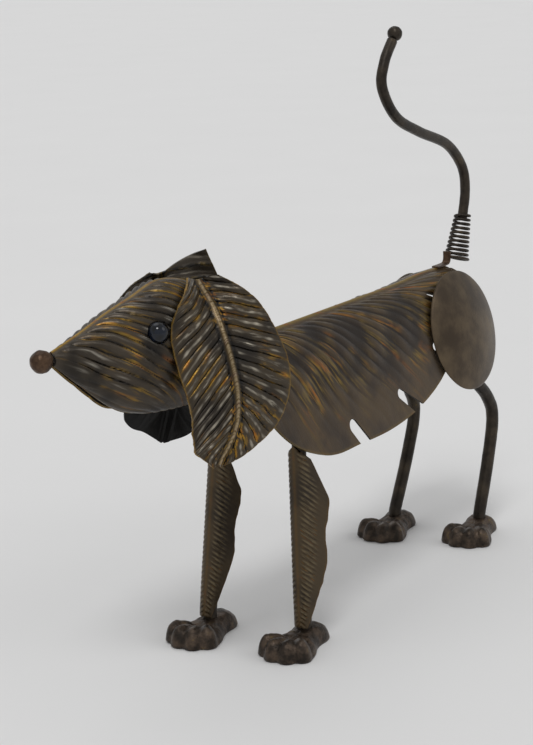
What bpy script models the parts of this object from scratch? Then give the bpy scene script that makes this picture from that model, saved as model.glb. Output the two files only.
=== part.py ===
"""Garden dog made of pressed steel leaves and bent rod. Metres, +Z up, nose towards -Y."""
import math

import bmesh
import bpy
from mathutils import Matrix, Vector

# Stock
SHEET = 0.001
LEG_ROD = 0.008
TAIL_ROD = 0.0064
SPRING_WIRE = 0.0018
GAP = 0.0003

# Stance: x is the dog's left, y is measured from the middle of the wheelbase
WHEELBASE = 0.215
SPINE_HEIGHT = 0.1715
FORE_TRACK = 0.0568
HIND_TRACK = 0.0522
FORE_STAGGER = 0.0052
HIND_STRIDE = 0.0093
FORE_SPLAY = 0.059
FORE_RAKE = 0.087
SOCKET_FLOOR = 0.0035
ANKLE_TOP = 0.012
HIP_DROP = 0.0365
HIP_HEIGHT = SPINE_HEIGHT - HIP_DROP
HIP_AHEAD = {1: 0.0085, -1: 0.0110}
# Bends of a hind leg: distance back, and shares of the hip's height and of its way inwards
HOCK = ((0.0150, 0.326, 0.0), (0.0245, 0.533, 0.0), (0.0180, 0.652, 0.0), (0.0030, 0.763, 0.2),
        (-0.0080, 0.889, 0.8))

# Paws, cast solid with four toes: radii of the plan about the paw's middle, from the toes
# round to the heel
PAW_AHEAD = 0.0345
PAW_BEHIND = 0.0180
PAW_PLAN = (0.0230, 0.0230, 0.0212, 0.0152, 0.0118, 0.0112, 0.0138, 0.0225, 0.0262)
HEEL_HEIGHT = 0.0113
INSTEP_HEIGHT = 0.0082
INSTEP_START = -0.008
INSTEP_RUN = 0.016
PAW_EDGE = 3.6
TOE_HEIGHT = 0.0120
TOE_RADIUS = 0.0056
TOE_FAN = 23.0
TOE_SET_BACK = 0.9
PAW_RIM = 0.0016
TOE_CROWDING = 0.35

# Slide to the rear and turn outwards in degrees of each paw on its leg
PAW_SEATS = {
    "left_fore_paw": (0.0, 3.0), "right_fore_paw": (0.0028, -3.0),
    "left_hind_paw": (-0.0025, 8.0), "right_hind_paw": (0.0010, -4.0),
}

# Body leaf: a saddle with its midrib along the back; pairs are at the front and at the rear
FRONT_OVERHANG = 0.0235
REAR_OVERHANG = 0.0135
SPINE_FRONT = -WHEELBASE / 2 - FRONT_OVERHANG
SPINE_REAR = WHEELBASE / 2 + REAR_OVERHANG
SPINE_ARCH = 0.0013
ARCH_SETBACK = 0.029
ARCH_SPAN = 0.022
SHOULDERS = (0.013, 0.0165)
TOP_SLOPES = (20.0, 3.0)
FLANK_SLOPES = (70.0, 78.0)
FLANK_REACH = (0.004, 0.057, 0.078, 0.082, 0.085, 0.0845, 0.0795, 0.069, 0.054, 0.030, 0.003)
FLANK_VEINS = (118.0, 96.0, 80.0, 68.0, 58.0, 50.0, 44.0)
BODY_RIPPLE = 0.0004

# Splits in the flank: distance of the round end behind the front of the back and down from
# the midrib, lean in degrees, and widths at the end and at the mouth; the last is one-sided
SPLITS = (
    (0.0804, 0.0669, 34.0, 0.0086, 0.0102),
    (0.1385, 0.0636, 53.0, 0.0062, 0.0105),
    (0.1910, 0.0470, 60.0, 0.0050, 0.0080),
)
HAUNCH_SPLIT = (0.2005, 0.0165, 66.0, 0.0016, 0.0026)
SPLIT_LENGTH = 0.034
SPLIT_DEPTH = 0.008

# Haunch discs: distance ahead of the hind paws and below the spine, left and right
DISC_RADIUS = 0.0375
DISC_DOME = 0.0055
DISC_PLACES = {1: (0.0111, 0.0331), -1: (0.0015, 0.0390)}
DISC_LEAN = 14.0
DISC_YAW = -2.0

# Head, in a frame at the crown that is turned to the dog's right
CROWN_AHEAD = 0.0207
CROWN_RISE = 0.0408
CROWN = (0.0, SPINE_FRONT - CROWN_AHEAD, SPINE_HEIGHT + CROWN_RISE)
HEAD_YAW = -15.0
SNOUT_LENGTH = 0.094
SNOUT_BACK = 0.006
SNOUT_RIDGE = (-0.0060, 0.0010, 0.0030, -0.0030, -0.0090, -0.0162, -0.0225)
SNOUT_JAW = (-0.0540, -0.0595, -0.0612, -0.0608, -0.0565, -0.0432, -0.0285)
SNOUT_HALF_WIDTH = (0.0190, 0.0220, 0.0240, 0.0225, 0.0180, 0.0110, 0.0035)
SNOUT_WRAP = (140.0, 148.0, 155.0, 160.0, 162.0, 160.0, 150.0)
SNOUT_RIPPLE = 0.0004
NOSE_RADIUS = 0.0058
NECK_SEAT = 0.045
NECK_END_DROP = 0.004
EYE_RADIUS = 0.0056
EYE_BACK = 0.0428
EYE_TURN = 61.0

# Ears hang in planes beside the head. A seat gives the plane's distance from the middle,
# its turn, flare and pitch in degrees, and the leaf's shift forwards and up in it
EAR_SEATS = {
    1: (0.0300, 12.0, 8.0, 0.0, 0.0, 0.0),
    -1: (0.0266, -26.6, -1.0, 5.9, -0.0031, -0.0004),
}
EAR_MIDRIB = (
    (0.0094, 0.0042), (0.0090, -0.0100), (0.0086, -0.0250), (0.0076, -0.0400),
    (0.0073, -0.0550), (0.0100, -0.0710), (0.0183, -0.0885),
)
EAR_FOLD = {
    1: (-0.0225, -0.0080, -0.0005, 0.0030, 0.0040, 0.0030, -0.0030),
    -1: (-0.0156, -0.0050, -0.0005, 0.0030, 0.0040, 0.0030, -0.0030),
}
EAR_FRONT_REACH = {
    1: (0.0110, 0.0285, 0.0305, 0.0295, 0.030, 0.0245, 0.004),
    -1: (0.0045, 0.0245, 0.032, 0.034, 0.0345, 0.022, 0.006),
}
EAR_REAR_REACH = {
    1: (0.009, 0.025, 0.036, 0.0395, 0.032, 0.016, 0.002),
    -1: (0.0305, 0.0345, 0.028, 0.019, 0.016, 0.018, 0.004),
}
EAR_FRONT_VEINS = (105.0, 40.0)
EAR_REAR_VEINS = (100.0, 52.0)
EAR_DIP = 0.014
EAR_CURL = {1: 1.0, -1: 4.0}
EAR_RIPPLE = 0.0006

# Leg leaves, folded lengthwise round the front of the fore legs
LEG_LEAF_DROP = 0.0595
LEG_LEAF_TOP = SPINE_HEIGHT - LEG_LEAF_DROP
LEG_LEAF_FOOT = 0.0115
LEG_LEAF_REACH = (0.006, 0.0145, 0.0215, 0.0185, 0.0188, 0.0125, 0.0045)
LEG_LEAF_FOLD = 68.0
LEG_LEAF_VEIN = 38.0
LEG_LEAF_RIPPLE = 0.0004
LEG_LEAF_SLACK = 0.0002
LEG_LEAF_FOOT_STEP = 0.0005
LEG_LEAF_TRIM = {1: 1.0, -1: 0.88}

# Tail: points are distances behind the rear end of the midrib and above it
SPRING_FOOT = (0.0174, 0.0025)
SPRING_HEAD = (0.0275, 0.0305)
SPRING_FOOT_RADIUS = 0.0072
SPRING_FLARE = 0.0043
SPRING_TURNS = 10.5
TAIL_BEND = (
    (0.0264, 0.0270), (0.0311, 0.0453), (0.0268, 0.0617), (0.0062, 0.0783), (-0.0303, 0.0903),
    (-0.0588, 0.1023), (-0.0748, 0.1213), (-0.0714, 0.1360), (-0.0613, 0.1480),
)
TAIL_BALL_RADIUS = 0.0045
BRACKET_WIDTH = 0.005
BRACKET_OVERLAP = 0.011
BRACKET_RISE = 0.0075
BRACKET_BEND = 0.0035

BRONZE_BROWN = (0.047, 0.036, 0.026)
WARM_BROWN = (0.060, 0.044, 0.031)
DARK_IRON = (0.022, 0.020, 0.018)
BLUE_BLACK = (0.008, 0.011, 0.022)


def clear_scene():
    """Take away whatever the file holds."""
    for item in list(bpy.data.objects):
        bpy.data.objects.remove(item, do_unlink=True)


def new_collection(name):
    """A collection under the scene."""
    group = bpy.data.collections.new(name)
    bpy.context.scene.collection.children.link(group)
    return group


def finish(name, colour, roughness, metallic):
    """A Principled material."""
    material = bpy.data.materials.new(name)
    material.use_nodes = True
    shader = material.node_tree.nodes["Principled BSDF"]
    shader.inputs["Base Color"].default_value = (*colour, 1.0)
    shader.inputs["Roughness"].default_value = roughness
    shader.inputs["Metallic"].default_value = metallic
    return material


def along(values, share):
    """Smooth curve through evenly spaced numbers or vectors, share from 0 to 1."""
    last = len(values) - 1
    place = min(max(share, 0.0), 1.0) * last
    i = min(int(place), last - 1)
    f = place - i
    b, c = values[i], values[i + 1]
    a = values[i - 1] if i > 0 else b * 2 - c
    d = values[i + 2] if i + 2 <= last else c * 2 - b
    bend = (a * 2 - b * 5 + c * 4 - d) * f * f
    twist = (b * 3 - a - c * 3 + d) * f * f * f
    return (b * 2 + (c - a) * f + bend + twist) * 0.5


def vectors(points):
    """Tuples as vectors."""
    return [Vector(point) for point in points]


def place(name, mesh, material, group, parent=None):
    """Put a mesh in the scene as one named sub-part."""
    item = bpy.data.objects.new(name, mesh)
    group.objects.link(item)
    if material is not None:
        mesh.materials.append(material)
    item.parent = parent
    return item


def sheet_from_rows(name, rows, material, group, parent=None):
    """A pressed sheet: a grid of points, thickened to the stock's size about its middle."""
    columns = len(rows[0])
    points = [point for row in rows for point in row]
    faces = []
    for i in range(len(rows) - 1):
        for j in range(columns - 1):
            corner = i * columns + j
            faces.append((corner, corner + 1, corner + columns + 1, corner + columns))
    mesh = bpy.data.meshes.new(name)
    mesh.from_pydata(points, [], faces)
    mesh.shade_smooth()
    item = place(name, mesh, material, group, parent)
    solid = item.modifiers.new("thickness", "SOLIDIFY")
    solid.thickness = SHEET
    solid.offset = 0.0
    return item


def cut(item, cutter):
    """Boolean difference with a hidden cutter."""
    modifier = item.modifiers.new("cut " + cutter.name, "BOOLEAN")
    modifier.operation = "DIFFERENCE"
    modifier.object = cutter


def as_cutter(item):
    """Mark an object as a cutter."""
    item.hide_render = True
    item.display_type = "WIRE"
    return item


def rod(name, points, diameter, material, group, sides=2):
    """A round rod along a row of points, with flat ends."""
    curve = bpy.data.curves.new(name, "CURVE")
    curve.dimensions = "3D"
    curve.bevel_depth = diameter / 2
    curve.bevel_resolution = sides
    curve.use_fill_caps = True
    spline = curve.splines.new("POLY")
    spline.points.add(len(points) - 1)
    for slot, point in zip(spline.points, points):
        slot.co = (*point, 1.0)
    spline.use_smooth = True
    curve.materials.append(material)
    item = bpy.data.objects.new(name, curve)
    group.objects.link(item)
    return item


def ball(name, centre, radius, material, group, parent=None, columns=12, rows=8):
    """A round ball."""
    mesh = bpy.data.meshes.new(name)
    shape = bmesh.new()
    bmesh.ops.create_uvsphere(shape, u_segments=columns, v_segments=rows, radius=radius)
    shape.to_mesh(mesh)
    shape.free()
    mesh.shade_smooth()
    item = place(name, mesh, material, group, parent)
    item.location = centre
    return item


# Body

def flank_profile(back, distance):
    """How far out and how far down the flank is at a distance from the midrib."""
    share = min(max((back - SPINE_FRONT) / (SPINE_REAR - SPINE_FRONT), 0.0), 1.0)
    shoulder, top, low = (pair[0] + (pair[1] - pair[0]) * share
                          for pair in (SHOULDERS, TOP_SLOPES, FLANK_SLOPES))
    steps = 24
    out = 0.0
    down = 0.0
    for k in range(steps):
        middle = distance * (k + 0.5) / steps
        slope = math.radians(low - (low - top) * math.exp(-(middle / shoulder) ** 2))
        out += math.cos(slope) * distance / steps
        down += math.sin(slope) * distance / steps
    return out, down


def spine_height(back):
    """Height of the midrib, which arches a little over the haunches."""
    from_arch = (back - SPINE_REAR + ARCH_SETBACK) / ARCH_SPAN
    return SPINE_HEIGHT + SPINE_ARCH * math.exp(-from_arch ** 2)


def flank_height(back, out_wanted):
    """Height of the flank where it is so far out from the middle plane."""
    distance = 0.0
    out = 0.0
    down = 0.0
    while out < out_wanted:
        distance += 0.0005
        out, down = flank_profile(back, distance)
    return spine_height(back) - down


def flank_out(back, height):
    """How far out from the middle plane the flank is at a height."""
    distance = 0.0
    out = 0.0
    down = 0.0
    while spine_height(back) - down > height:
        distance += 0.0005
        out, down = flank_profile(back, distance)
    return out


def flank_point(side, back, distance, lift=0.0):
    """A point of the body leaf; lift moves it outwards from the sheet."""
    out, down = flank_profile(back, distance)
    slope = math.radians(FLANK_SLOPES[0])
    if distance < SHOULDERS[0]:
        slope = slope * distance / SHOULDERS[0]
    out += lift * math.sin(slope)
    down -= lift * math.cos(slope)
    return Vector((side * out, back, spine_height(back) - down))


def body_rows(rows=20, half_columns=6):
    """Rows of the body leaf follow its veins, so that every other row stands proud."""
    grid = []
    for i in range(rows + 1):
        share = i / rows
        start = SPINE_FRONT + (SPINE_REAR - SPINE_FRONT) * share
        angle = math.radians(along(FLANK_VEINS, share))
        reach = max(along(FLANK_REACH, share), 0.002)
        proud = BODY_RIPPLE * (1 if i % 2 else -1)
        row = []
        for j in range(-half_columns, half_columns + 1):
            side = -1 if j < 0 else 1
            t = abs(j) / half_columns
            back = start + reach * t * math.cos(angle) * (1.2 - 0.2 * t)
            down = reach * t * math.sin(angle) * (0.9 + 0.1 * t)
            row.append(flank_point(side, back, down, proud * math.sin(math.pi * t)))
        grid.append(row)
    return grid


def split_cutter(name, side, split, group):
    """A tapered slot with a round end, standing across the flank."""
    behind, distance, lean, end_width, mouth_width = split
    back = SPINE_FRONT + behind
    bottom = flank_point(side, back, distance + end_width / 2)
    top = flank_point(side, back, distance - end_width / 2)
    down = (bottom - top).normalized()
    rear = Vector((0.0, 1.0, 0.0))
    run = (down * math.cos(math.radians(lean)) + rear * math.sin(math.radians(lean))).normalized()
    out = run.cross(Vector((0.0, 1.0, 0.0)).cross(down)).normalized()
    across = Vector((0.0, 1.0, 0.0)).cross(down).normalized()
    start = flank_point(side, back, distance) + run * end_width / 2
    outline = [start + run * SPLIT_LENGTH - out * mouth_width / 2,
               start + run * SPLIT_LENGTH + out * mouth_width / 2]
    arc_steps = 6
    for k in range(arc_steps + 1):
        turn = math.pi * k / arc_steps
        outline.append(start + (out * math.cos(turn) - run * math.sin(turn)) * end_width / 2)
    depth = across * SPLIT_DEPTH
    shape = bmesh.new()
    near = [shape.verts.new(point - depth) for point in outline]
    far = [shape.verts.new(point + depth) for point in outline]
    shape.faces.new(near)
    shape.faces.new(list(reversed(far)))
    for k in range(len(outline)):
        following = (k + 1) % len(outline)
        shape.faces.new((near[following], near[k], far[k], far[following]))
    bmesh.ops.recalc_face_normals(shape, faces=shape.faces)
    mesh = bpy.data.meshes.new(name)
    shape.to_mesh(mesh)
    shape.free()
    return as_cutter(place(name, mesh, None, group))


def make_body(material, group, cutters):
    """The body leaf with its splits."""
    body = sheet_from_rows("body_leaf", body_rows(), material, group)
    for side, word in ((1, "left"), (-1, "right")):
        for number, split in enumerate(SPLITS, 1):
            cut(body, split_cutter(f"{word}_split_{number}", side, split, cutters))
    cut(body, split_cutter("haunch_split", 1, HAUNCH_SPLIT, cutters))


def dome(radius):
    """Height of a haunch disc over its rim plane."""
    return DISC_DOME * (1 - (radius / DISC_RADIUS) ** 2)


def disc_turn(side):
    """Turn of a haunch disc from lying flat to leaning on the flank."""
    outward = Matrix.Rotation(math.radians(90), 4, "Y")
    lean = Matrix.Rotation(math.radians(-DISC_LEAN), 4, "Y")
    yaw = Matrix.Rotation(math.radians(side * DISC_YAW), 4, "Z")
    half = Matrix.Identity(4) if side > 0 else Matrix.Rotation(math.pi, 4, "Z")
    return half @ yaw @ lean @ outward


def disc_centre(side):
    """Centre of a disc's rim plane, as far out as the body leaf under it asks."""
    ahead, drop = DISC_PLACES[side]
    back = WHEELBASE / 2 - ahead
    height = SPINE_HEIGHT - drop
    normal = disc_turn(1) @ Vector((0.0, 0.0, 1.0))
    centre = Vector((0.0, back, height))
    room = SHEET * 1.5 + BODY_RIPPLE + GAP * 1.5
    steps = 24
    for _ in range(3):
        need = -math.inf
        for i in range(steps + 1):
            for j in range(steps + 1):
                place_back = back - DISC_RADIUS + 2 * DISC_RADIUS * i / steps
                point = flank_point(1, place_back, 2 * DISC_RADIUS * j / steps)
                out = (point - centre).dot(normal)
                radius = (point - centre - normal * out).length
                if radius < DISC_RADIUS and on_leaf(place_back, 2 * DISC_RADIUS * j / steps):
                    need = max(need, out - dome(radius) + room)
        centre.x += need / normal.x
    return Vector((side * centre.x, centre.y, centre.z))


def on_leaf(back, distance):
    """Whether the body leaf covers a place on the haunch, inside its rear edge."""
    steps = 40
    for k in range(steps // 2, steps + 1):
        share = k / steps
        angle = math.radians(along(FLANK_VEINS, share))
        reach = along(FLANK_REACH, share)
        edge_back = SPINE_FRONT + (SPINE_REAR - SPINE_FRONT) * share + reach * math.cos(angle)
        if edge_back > back and reach * math.sin(angle) > distance:
            return True
    return False


def make_disc(name, side, material, group):
    """A domed round plate over the hip."""
    rings = 3
    profile = bmesh.new()
    before = None
    for k in range(rings + 1):
        radius = DISC_RADIUS * k / rings
        point = profile.verts.new((radius, 0.0, dome(radius)))
        if before is not None:
            profile.edges.new((before, point))
        before = point
    mesh = bpy.data.meshes.new(name)
    profile.to_mesh(mesh)
    profile.free()
    item = place(name, mesh, material, group)
    turned = item.modifiers.new("turn", "SCREW")
    turned.steps = 24
    turned.render_steps = 24
    turned.use_merge_vertices = True
    turned.merge_threshold = 0.00005
    solid = item.modifiers.new("thickness", "SOLIDIFY")
    solid.thickness = SHEET
    solid.offset = -1.0
    item.matrix_world = Matrix.Translation(disc_centre(side)) @ disc_turn(side)
    return item


# Legs and paws

def ankle(side, fore):
    """Where a leg meets its paw, on the floor plane."""
    if fore:
        return Vector((side * FORE_TRACK / 2, -WHEELBASE / 2 + side * FORE_STAGGER, 0.0))
    return Vector((side * HIND_TRACK / 2, WHEELBASE / 2 + side * HIND_STRIDE, 0.0))


def fore_leg_points(side):
    """Straight rod, splayed a little, up to the underside of the body leaf."""
    foot = ankle(side, True)
    lean = Vector((side * -FORE_SPLAY, FORE_RAKE, 1.0))
    knee = foot + Vector((0, 0, ANKLE_TOP))
    clear = LEG_ROD / 2 + SHEET + BODY_RIPPLE + GAP
    rise = SPINE_HEIGHT - ANKLE_TOP
    for _ in range(4):
        top = knee + lean * rise
        rise = flank_height(top.y, abs(top.x) + clear) - SHEET - ANKLE_TOP
    return [foot + Vector((0, 0, SOCKET_FLOOR + GAP)), knee, knee + lean * rise]


def hind_leg_points(side):
    """Rod with a hock, up to the inside of the body leaf under the haunch disc."""
    ahead = HIP_AHEAD[side]
    clear = LEG_ROD / 2 + SHEET + BODY_RIPPLE + GAP
    tuck = flank_out(WHEELBASE / 2 - ahead, HIP_HEIGHT) - clear - HIND_TRACK / 2
    bends = [(0.0, 0.0, ANKLE_TOP)]
    for number, (back, rise, drawn_in) in enumerate(HOCK):
        slid = (ahead - HIP_AHEAD[1]) * number / len(HOCK)
        bends.append((tuck * drawn_in, back - slid, HIP_HEIGHT * rise))
    bends.append((tuck, -ahead, HIP_HEIGHT))
    bends = vectors(bends)
    foot = Vector((side * HIND_TRACK / 2, WHEELBASE / 2, 0.0))
    points = [ankle(side, False) + Vector((0, 0, SOCKET_FLOOR + GAP))]
    steps = 12
    for k in range(steps + 1):
        bend = along(bends, k / steps)
        swing = side * HIND_STRIDE * (HIP_HEIGHT - bend.z) / (HIP_HEIGHT - ANKLE_TOP)
        points.append(foot + Vector((side * bend.x, bend.y + swing, bend.z)))
    return points


def toe_centres():
    """Middles of the four toes, fanned about the middle of the paw; the outer two sit back."""
    middle = (PAW_BEHIND - PAW_AHEAD) / 2
    reach = (PAW_BEHIND + PAW_AHEAD) / 2 - TOE_RADIUS
    centres = []
    for k in (-1.5, -0.5, 0.5, 1.5):
        turn = math.radians(TOE_FAN * k)
        out = reach * (TOE_SET_BACK if abs(k) > 1 else 1.0)
        centres.append((out * math.sin(turn), middle - out * math.cos(turn)))
    return centres


def paw_outline(turn):
    """Radius of the paw's plan about its middle at a turn, 0 at the toes."""
    middle = (PAW_BEHIND - PAW_AHEAD) / 2
    radius = along(PAW_PLAN, abs(turn) / math.pi)
    for x, y in toe_centres():
        ahead = x * math.sin(turn) - (y - middle) * math.cos(turn)
        aside = x * math.cos(turn) + (y - middle) * math.sin(turn)
        if ahead > 0 and abs(aside) < TOE_RADIUS:
            radius = max(radius, ahead + math.sqrt(TOE_RADIUS ** 2 - aside ** 2))
    return radius


def paw_height(x, y, edge):
    """Height of the paw's top: a rounded heel, an instep that falls forwards and the toes."""
    fall = min(max((-y - INSTEP_START) / INSTEP_RUN, 0.0), 1.0)
    height = HEEL_HEIGHT + (INSTEP_HEIGHT - HEEL_HEIGHT) * fall
    height *= math.sqrt(max(1 - edge ** PAW_EDGE, 0.0))
    for toe_x, toe_y in toe_centres():
        inside = 1 - ((x - toe_x) ** 2 + (y - toe_y) ** 2) / TOE_RADIUS ** 2
        if inside > 0:
            height = max(height, TOE_HEIGHT * math.sqrt(inside))
    return max(height, PAW_RIM)


def paw_mesh(name, segments=24, rings=5):
    """A cast paw, flat below, with its leg's place at the origin and its toes at -Y."""
    middle = (PAW_BEHIND - PAW_AHEAD) / 2
    shape = bmesh.new()
    top = shape.verts.new((0.0, middle, paw_height(0.0, middle, 0.0)))
    loops = []
    for ring in range(1, rings + 1):
        edge = (ring / rings) ** 0.8
        loop = []
        for k in range(segments):
            even = 2 * math.pi * (k + 0.5) / segments - math.pi
            turn = even - TOE_CROWDING * math.sin(even)
            radius = paw_outline(turn) * edge
            x = radius * math.sin(turn)
            y = middle - radius * math.cos(turn)
            loop.append(shape.verts.new((x, y, paw_height(x, y, edge))))
        loops.append(loop)
    floor = [shape.verts.new((vert.co.x * 0.98, vert.co.y * 0.98, 0.0)) for vert in loops[-1]]
    loops.append(floor)
    for k in range(segments):
        following = (k + 1) % segments
        shape.faces.new((top, loops[0][k], loops[0][following]))
        for inner, outer in zip(loops, loops[1:]):
            shape.faces.new((inner[k], outer[k], outer[following], inner[following]))
    shape.faces.new(list(reversed(floor)))
    bmesh.ops.recalc_face_normals(shape, faces=shape.faces)
    mesh = bpy.data.meshes.new(name)
    shape.to_mesh(mesh)
    shape.free()
    mesh.shade_smooth()
    return mesh


def make_socket(name, centre, cutters):
    """The cutter for the hole that takes a leg's end."""
    sides = 12
    radius = (LEG_ROD / 2 + GAP) / math.cos(math.pi / sides)
    depth = 0.04
    shape = bmesh.new()
    bmesh.ops.create_cone(shape, cap_ends=True, segments=sides, radius1=radius, radius2=radius,
                          depth=depth)
    mesh = bpy.data.meshes.new(name)
    shape.to_mesh(mesh)
    shape.free()
    item = as_cutter(place(name, mesh, None, cutters))
    item.location = centre + Vector((0, 0, SOCKET_FLOOR + depth / 2))
    return item


def make_legs(rod_finish, paw_finish, group, cutters):
    """Four rods, each in a paw."""
    for side, word in ((1, "left"), (-1, "right")):
        for fore, pair in ((True, "fore"), (False, "hind")):
            points = fore_leg_points(side) if fore else hind_leg_points(side)
            rod(f"{word}_{pair}_leg", points, LEG_ROD, rod_finish, group)
            name = f"{word}_{pair}_paw"
            paw = place(name, paw_mesh(name), paw_finish, group)
            slide, toe_out = PAW_SEATS[name]
            paw.location = ankle(side, fore) + Vector((0.0, slide, 0.0))
            paw.rotation_euler = (0.0, 0.0, side * math.radians(toe_out))
            cut(paw, make_socket(f"{name}_socket", ankle(side, fore), cutters))


def leg_leaf_point(side, height, reach, lift):
    """A point of a leg leaf: reach runs round the fold and on to the rear."""
    axis = fore_leg_points(1 if side > 0 else -1)[1:3]
    share = (height - axis[0].z) / (axis[1].z - axis[0].z)
    centre = axis[0].lerp(axis[1], share)
    radius = LEG_ROD / 2 + GAP + SHEET / 2 + LEG_LEAF_RIPPLE + LEG_LEAF_SLACK + lift
    fold = math.radians(LEG_LEAF_FOLD)
    turn = min(abs(reach) / radius, fold)
    straight = max(abs(reach) - radius * fold, 0.0)
    across = radius * math.sin(turn) + straight * math.cos(fold)
    ahead = radius * math.cos(turn) - straight * math.sin(fold)
    return Vector((centre.x + math.copysign(across, reach), centre.y - ahead, height))


def make_leg_leaf(name, side, material, group):
    """A long leaf folded round the front of a fore leg; its rows follow the veins."""
    rows = []
    count = 12
    half_columns = 4
    droop = math.tan(math.radians(LEG_LEAF_VEIN))
    long = LEG_LEAF_TOP - LEG_LEAF_FOOT
    for i in range(count + 1):
        start = LEG_LEAF_TOP - long * i / count
        reach = 0.0
        for _ in range(12):
            end = start - reach * droop
            edge = along(LEG_LEAF_REACH, (LEG_LEAF_TOP - end) / long) * LEG_LEAF_TRIM[side]
            reach = (reach + edge) / 2
        proud = LEG_LEAF_RIPPLE * (1 if i % 2 else -1)
        row = []
        for j in range(-half_columns, half_columns + 1):
            t = (abs(j) / half_columns) ** 1.5
            height = max(start - reach * t * droop, LEG_LEAF_FOOT - LEG_LEAF_FOOT_STEP * i / count)
            ripple = proud * math.sin(math.pi * min(t * 1.3, 1.0))
            row.append(leg_leaf_point(side, height, math.copysign(reach * t, j), ripple))
        rows.append(row)
    return sheet_from_rows(name, rows, material, group)


# Head

def head_frame():
    """An empty at the crown; its -Y looks along the snout."""
    frame = bpy.data.objects.new("head_frame", None)
    bpy.context.scene.collection.objects.link(frame)
    frame.location = CROWN
    frame.rotation_euler = (0.0, 0.0, math.radians(HEAD_YAW))
    return frame


def snout_point(share, wrap_share, side, lift=0.0):
    """A point of the snout leaf; share 0 at the crown and 1 at the nose."""
    ridge = along(SNOUT_RIDGE, share)
    jaw = along(SNOUT_JAW, share)
    half = along(SNOUT_HALF_WIDTH, share)
    turn = math.radians(along(SNOUT_WRAP, share)) * wrap_share
    tall = (ridge - jaw) / (1 - math.cos(math.radians(along(SNOUT_WRAP, share))))
    forward = -SNOUT_BACK + (SNOUT_LENGTH + SNOUT_BACK) * share
    x = side * (half + lift) * math.sin(turn)
    z = ridge - tall * (1 - math.cos(turn)) + lift * math.cos(turn)
    return Vector((x, -forward, z))


def make_snout(material, group, frame, cutters):
    """The leaf folded over the muzzle, open below, with holes for the eyes."""
    rows = []
    count = 14
    half_columns = 7
    for i in range(count + 1):
        share = i / count
        row = []
        for j in range(-half_columns, half_columns + 1):
            side = -1 if j < 0 else 1
            wrap = abs(j) / half_columns
            proud = SNOUT_RIPPLE * (1 if j % 2 else -1) * math.sin(math.pi * share)
            row.append(snout_point(share, wrap, side, proud))
        rows.append(row)
    snout = sheet_from_rows("snout_leaf", rows, material, group, frame)
    for side, word in ((1, "left"), (-1, "right")):
        seat = ball(f"{word}_eye_seat", eye_centre(side), EYE_RADIUS + GAP, None, cutters, frame,
                    16, 12)
        cut(snout, as_cutter(seat))


def eye_centre(side):
    """Where an eye sits in the side of the snout."""
    share = (EYE_BACK + SNOUT_BACK) / (SNOUT_LENGTH + SNOUT_BACK)
    wrap = EYE_TURN / along(SNOUT_WRAP, share)
    return snout_point(share, wrap, side)


def ear_place(side, forward, up, out):
    """A point of an ear's hanging plane in the head frame."""
    distance, turn, flare, pitch, ahead_shift, up_shift = EAR_SEATS[side]
    turn, flare, pitch = map(math.radians, (turn, flare, pitch))
    ahead = Vector((-math.sin(turn), -math.cos(turn), 0.0))
    face = Vector((math.cos(turn) * math.cos(flare), -math.sin(turn) * math.cos(flare),
                   math.sin(flare)))
    rise = ahead.cross(face)
    if rise.z < 0:
        rise = rise * -1
    along_ahead = forward * math.cos(pitch) + up * math.sin(pitch) + ahead_shift
    along_rise = up * math.cos(pitch) - forward * math.sin(pitch) + up_shift
    point = Vector((distance, 0.0, 0.0)) + ahead * along_ahead + rise * along_rise + face * out
    return Vector((side * point.x, point.y, point.z))


def ear_point(side, share, half, distance, lift=0.0):
    """A point of an ear: half is 1 in front of its midrib and -1 behind."""
    midrib = vectors(EAR_MIDRIB)
    middle = along(midrib, share)
    step = 0.01
    ahead = along(midrib, min(share + step, 1.0)) - along(midrib, max(share - step, 0.0))
    run = ahead.normalized()
    across = Vector((-run.y, run.x))
    first, last = EAR_FRONT_VEINS if half > 0 else EAR_REAR_VEINS
    angle = math.radians(first + (last - first) * share ** 0.6)
    spot = middle + (run * math.cos(angle) + across * half * math.sin(angle)) * distance
    out = along(EAR_FOLD[side], share) * math.exp(-(distance / EAR_DIP) ** 2)
    return ear_place(side, spot.x, spot.y, out - EAR_CURL[half] * distance ** 2 + lift)


def make_ear(name, side, material, group, frame):
    """A broad hanging leaf."""
    rows = []
    count = 18
    half_columns = 5
    for i in range(count + 1):
        share = i / count
        proud = EAR_RIPPLE * (1 if i % 2 else -1)
        row = []
        for j in range(-half_columns, half_columns + 1):
            half = 1 if j > 0 else -1
            reach = along(EAR_FRONT_REACH[side] if half > 0 else EAR_REAR_REACH[side], share)
            t = abs(j) / half_columns
            row.append(ear_point(side, share, half, reach * t, proud * min(t * 3, 1.0)))
        rows.append(row)
    return sheet_from_rows(name, rows, material, group, frame)


def make_head(leaf_finish, ear_finish, eye_finish, nose_finish, group, cutters):
    """Snout, ears, eyes and nose."""
    frame = head_frame()
    make_snout(leaf_finish, group, frame, cutters)
    for side, word in ((1, "left"), (-1, "right")):
        make_ear(f"{word}_ear", side, ear_finish, group, frame)
        ball(f"{word}_eye", eye_centre(side), EYE_RADIUS, eye_finish, group, frame, 10, 7)
    tip = snout_point(1.0, 0.5, 1)
    nose = (0.0, tip.y - NOSE_RADIUS - GAP, (SNOUT_RIDGE[-1] + SNOUT_JAW[-1]) / 2)
    ball("nose_ball", nose, NOSE_RADIUS, nose_finish, group, frame)


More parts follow.
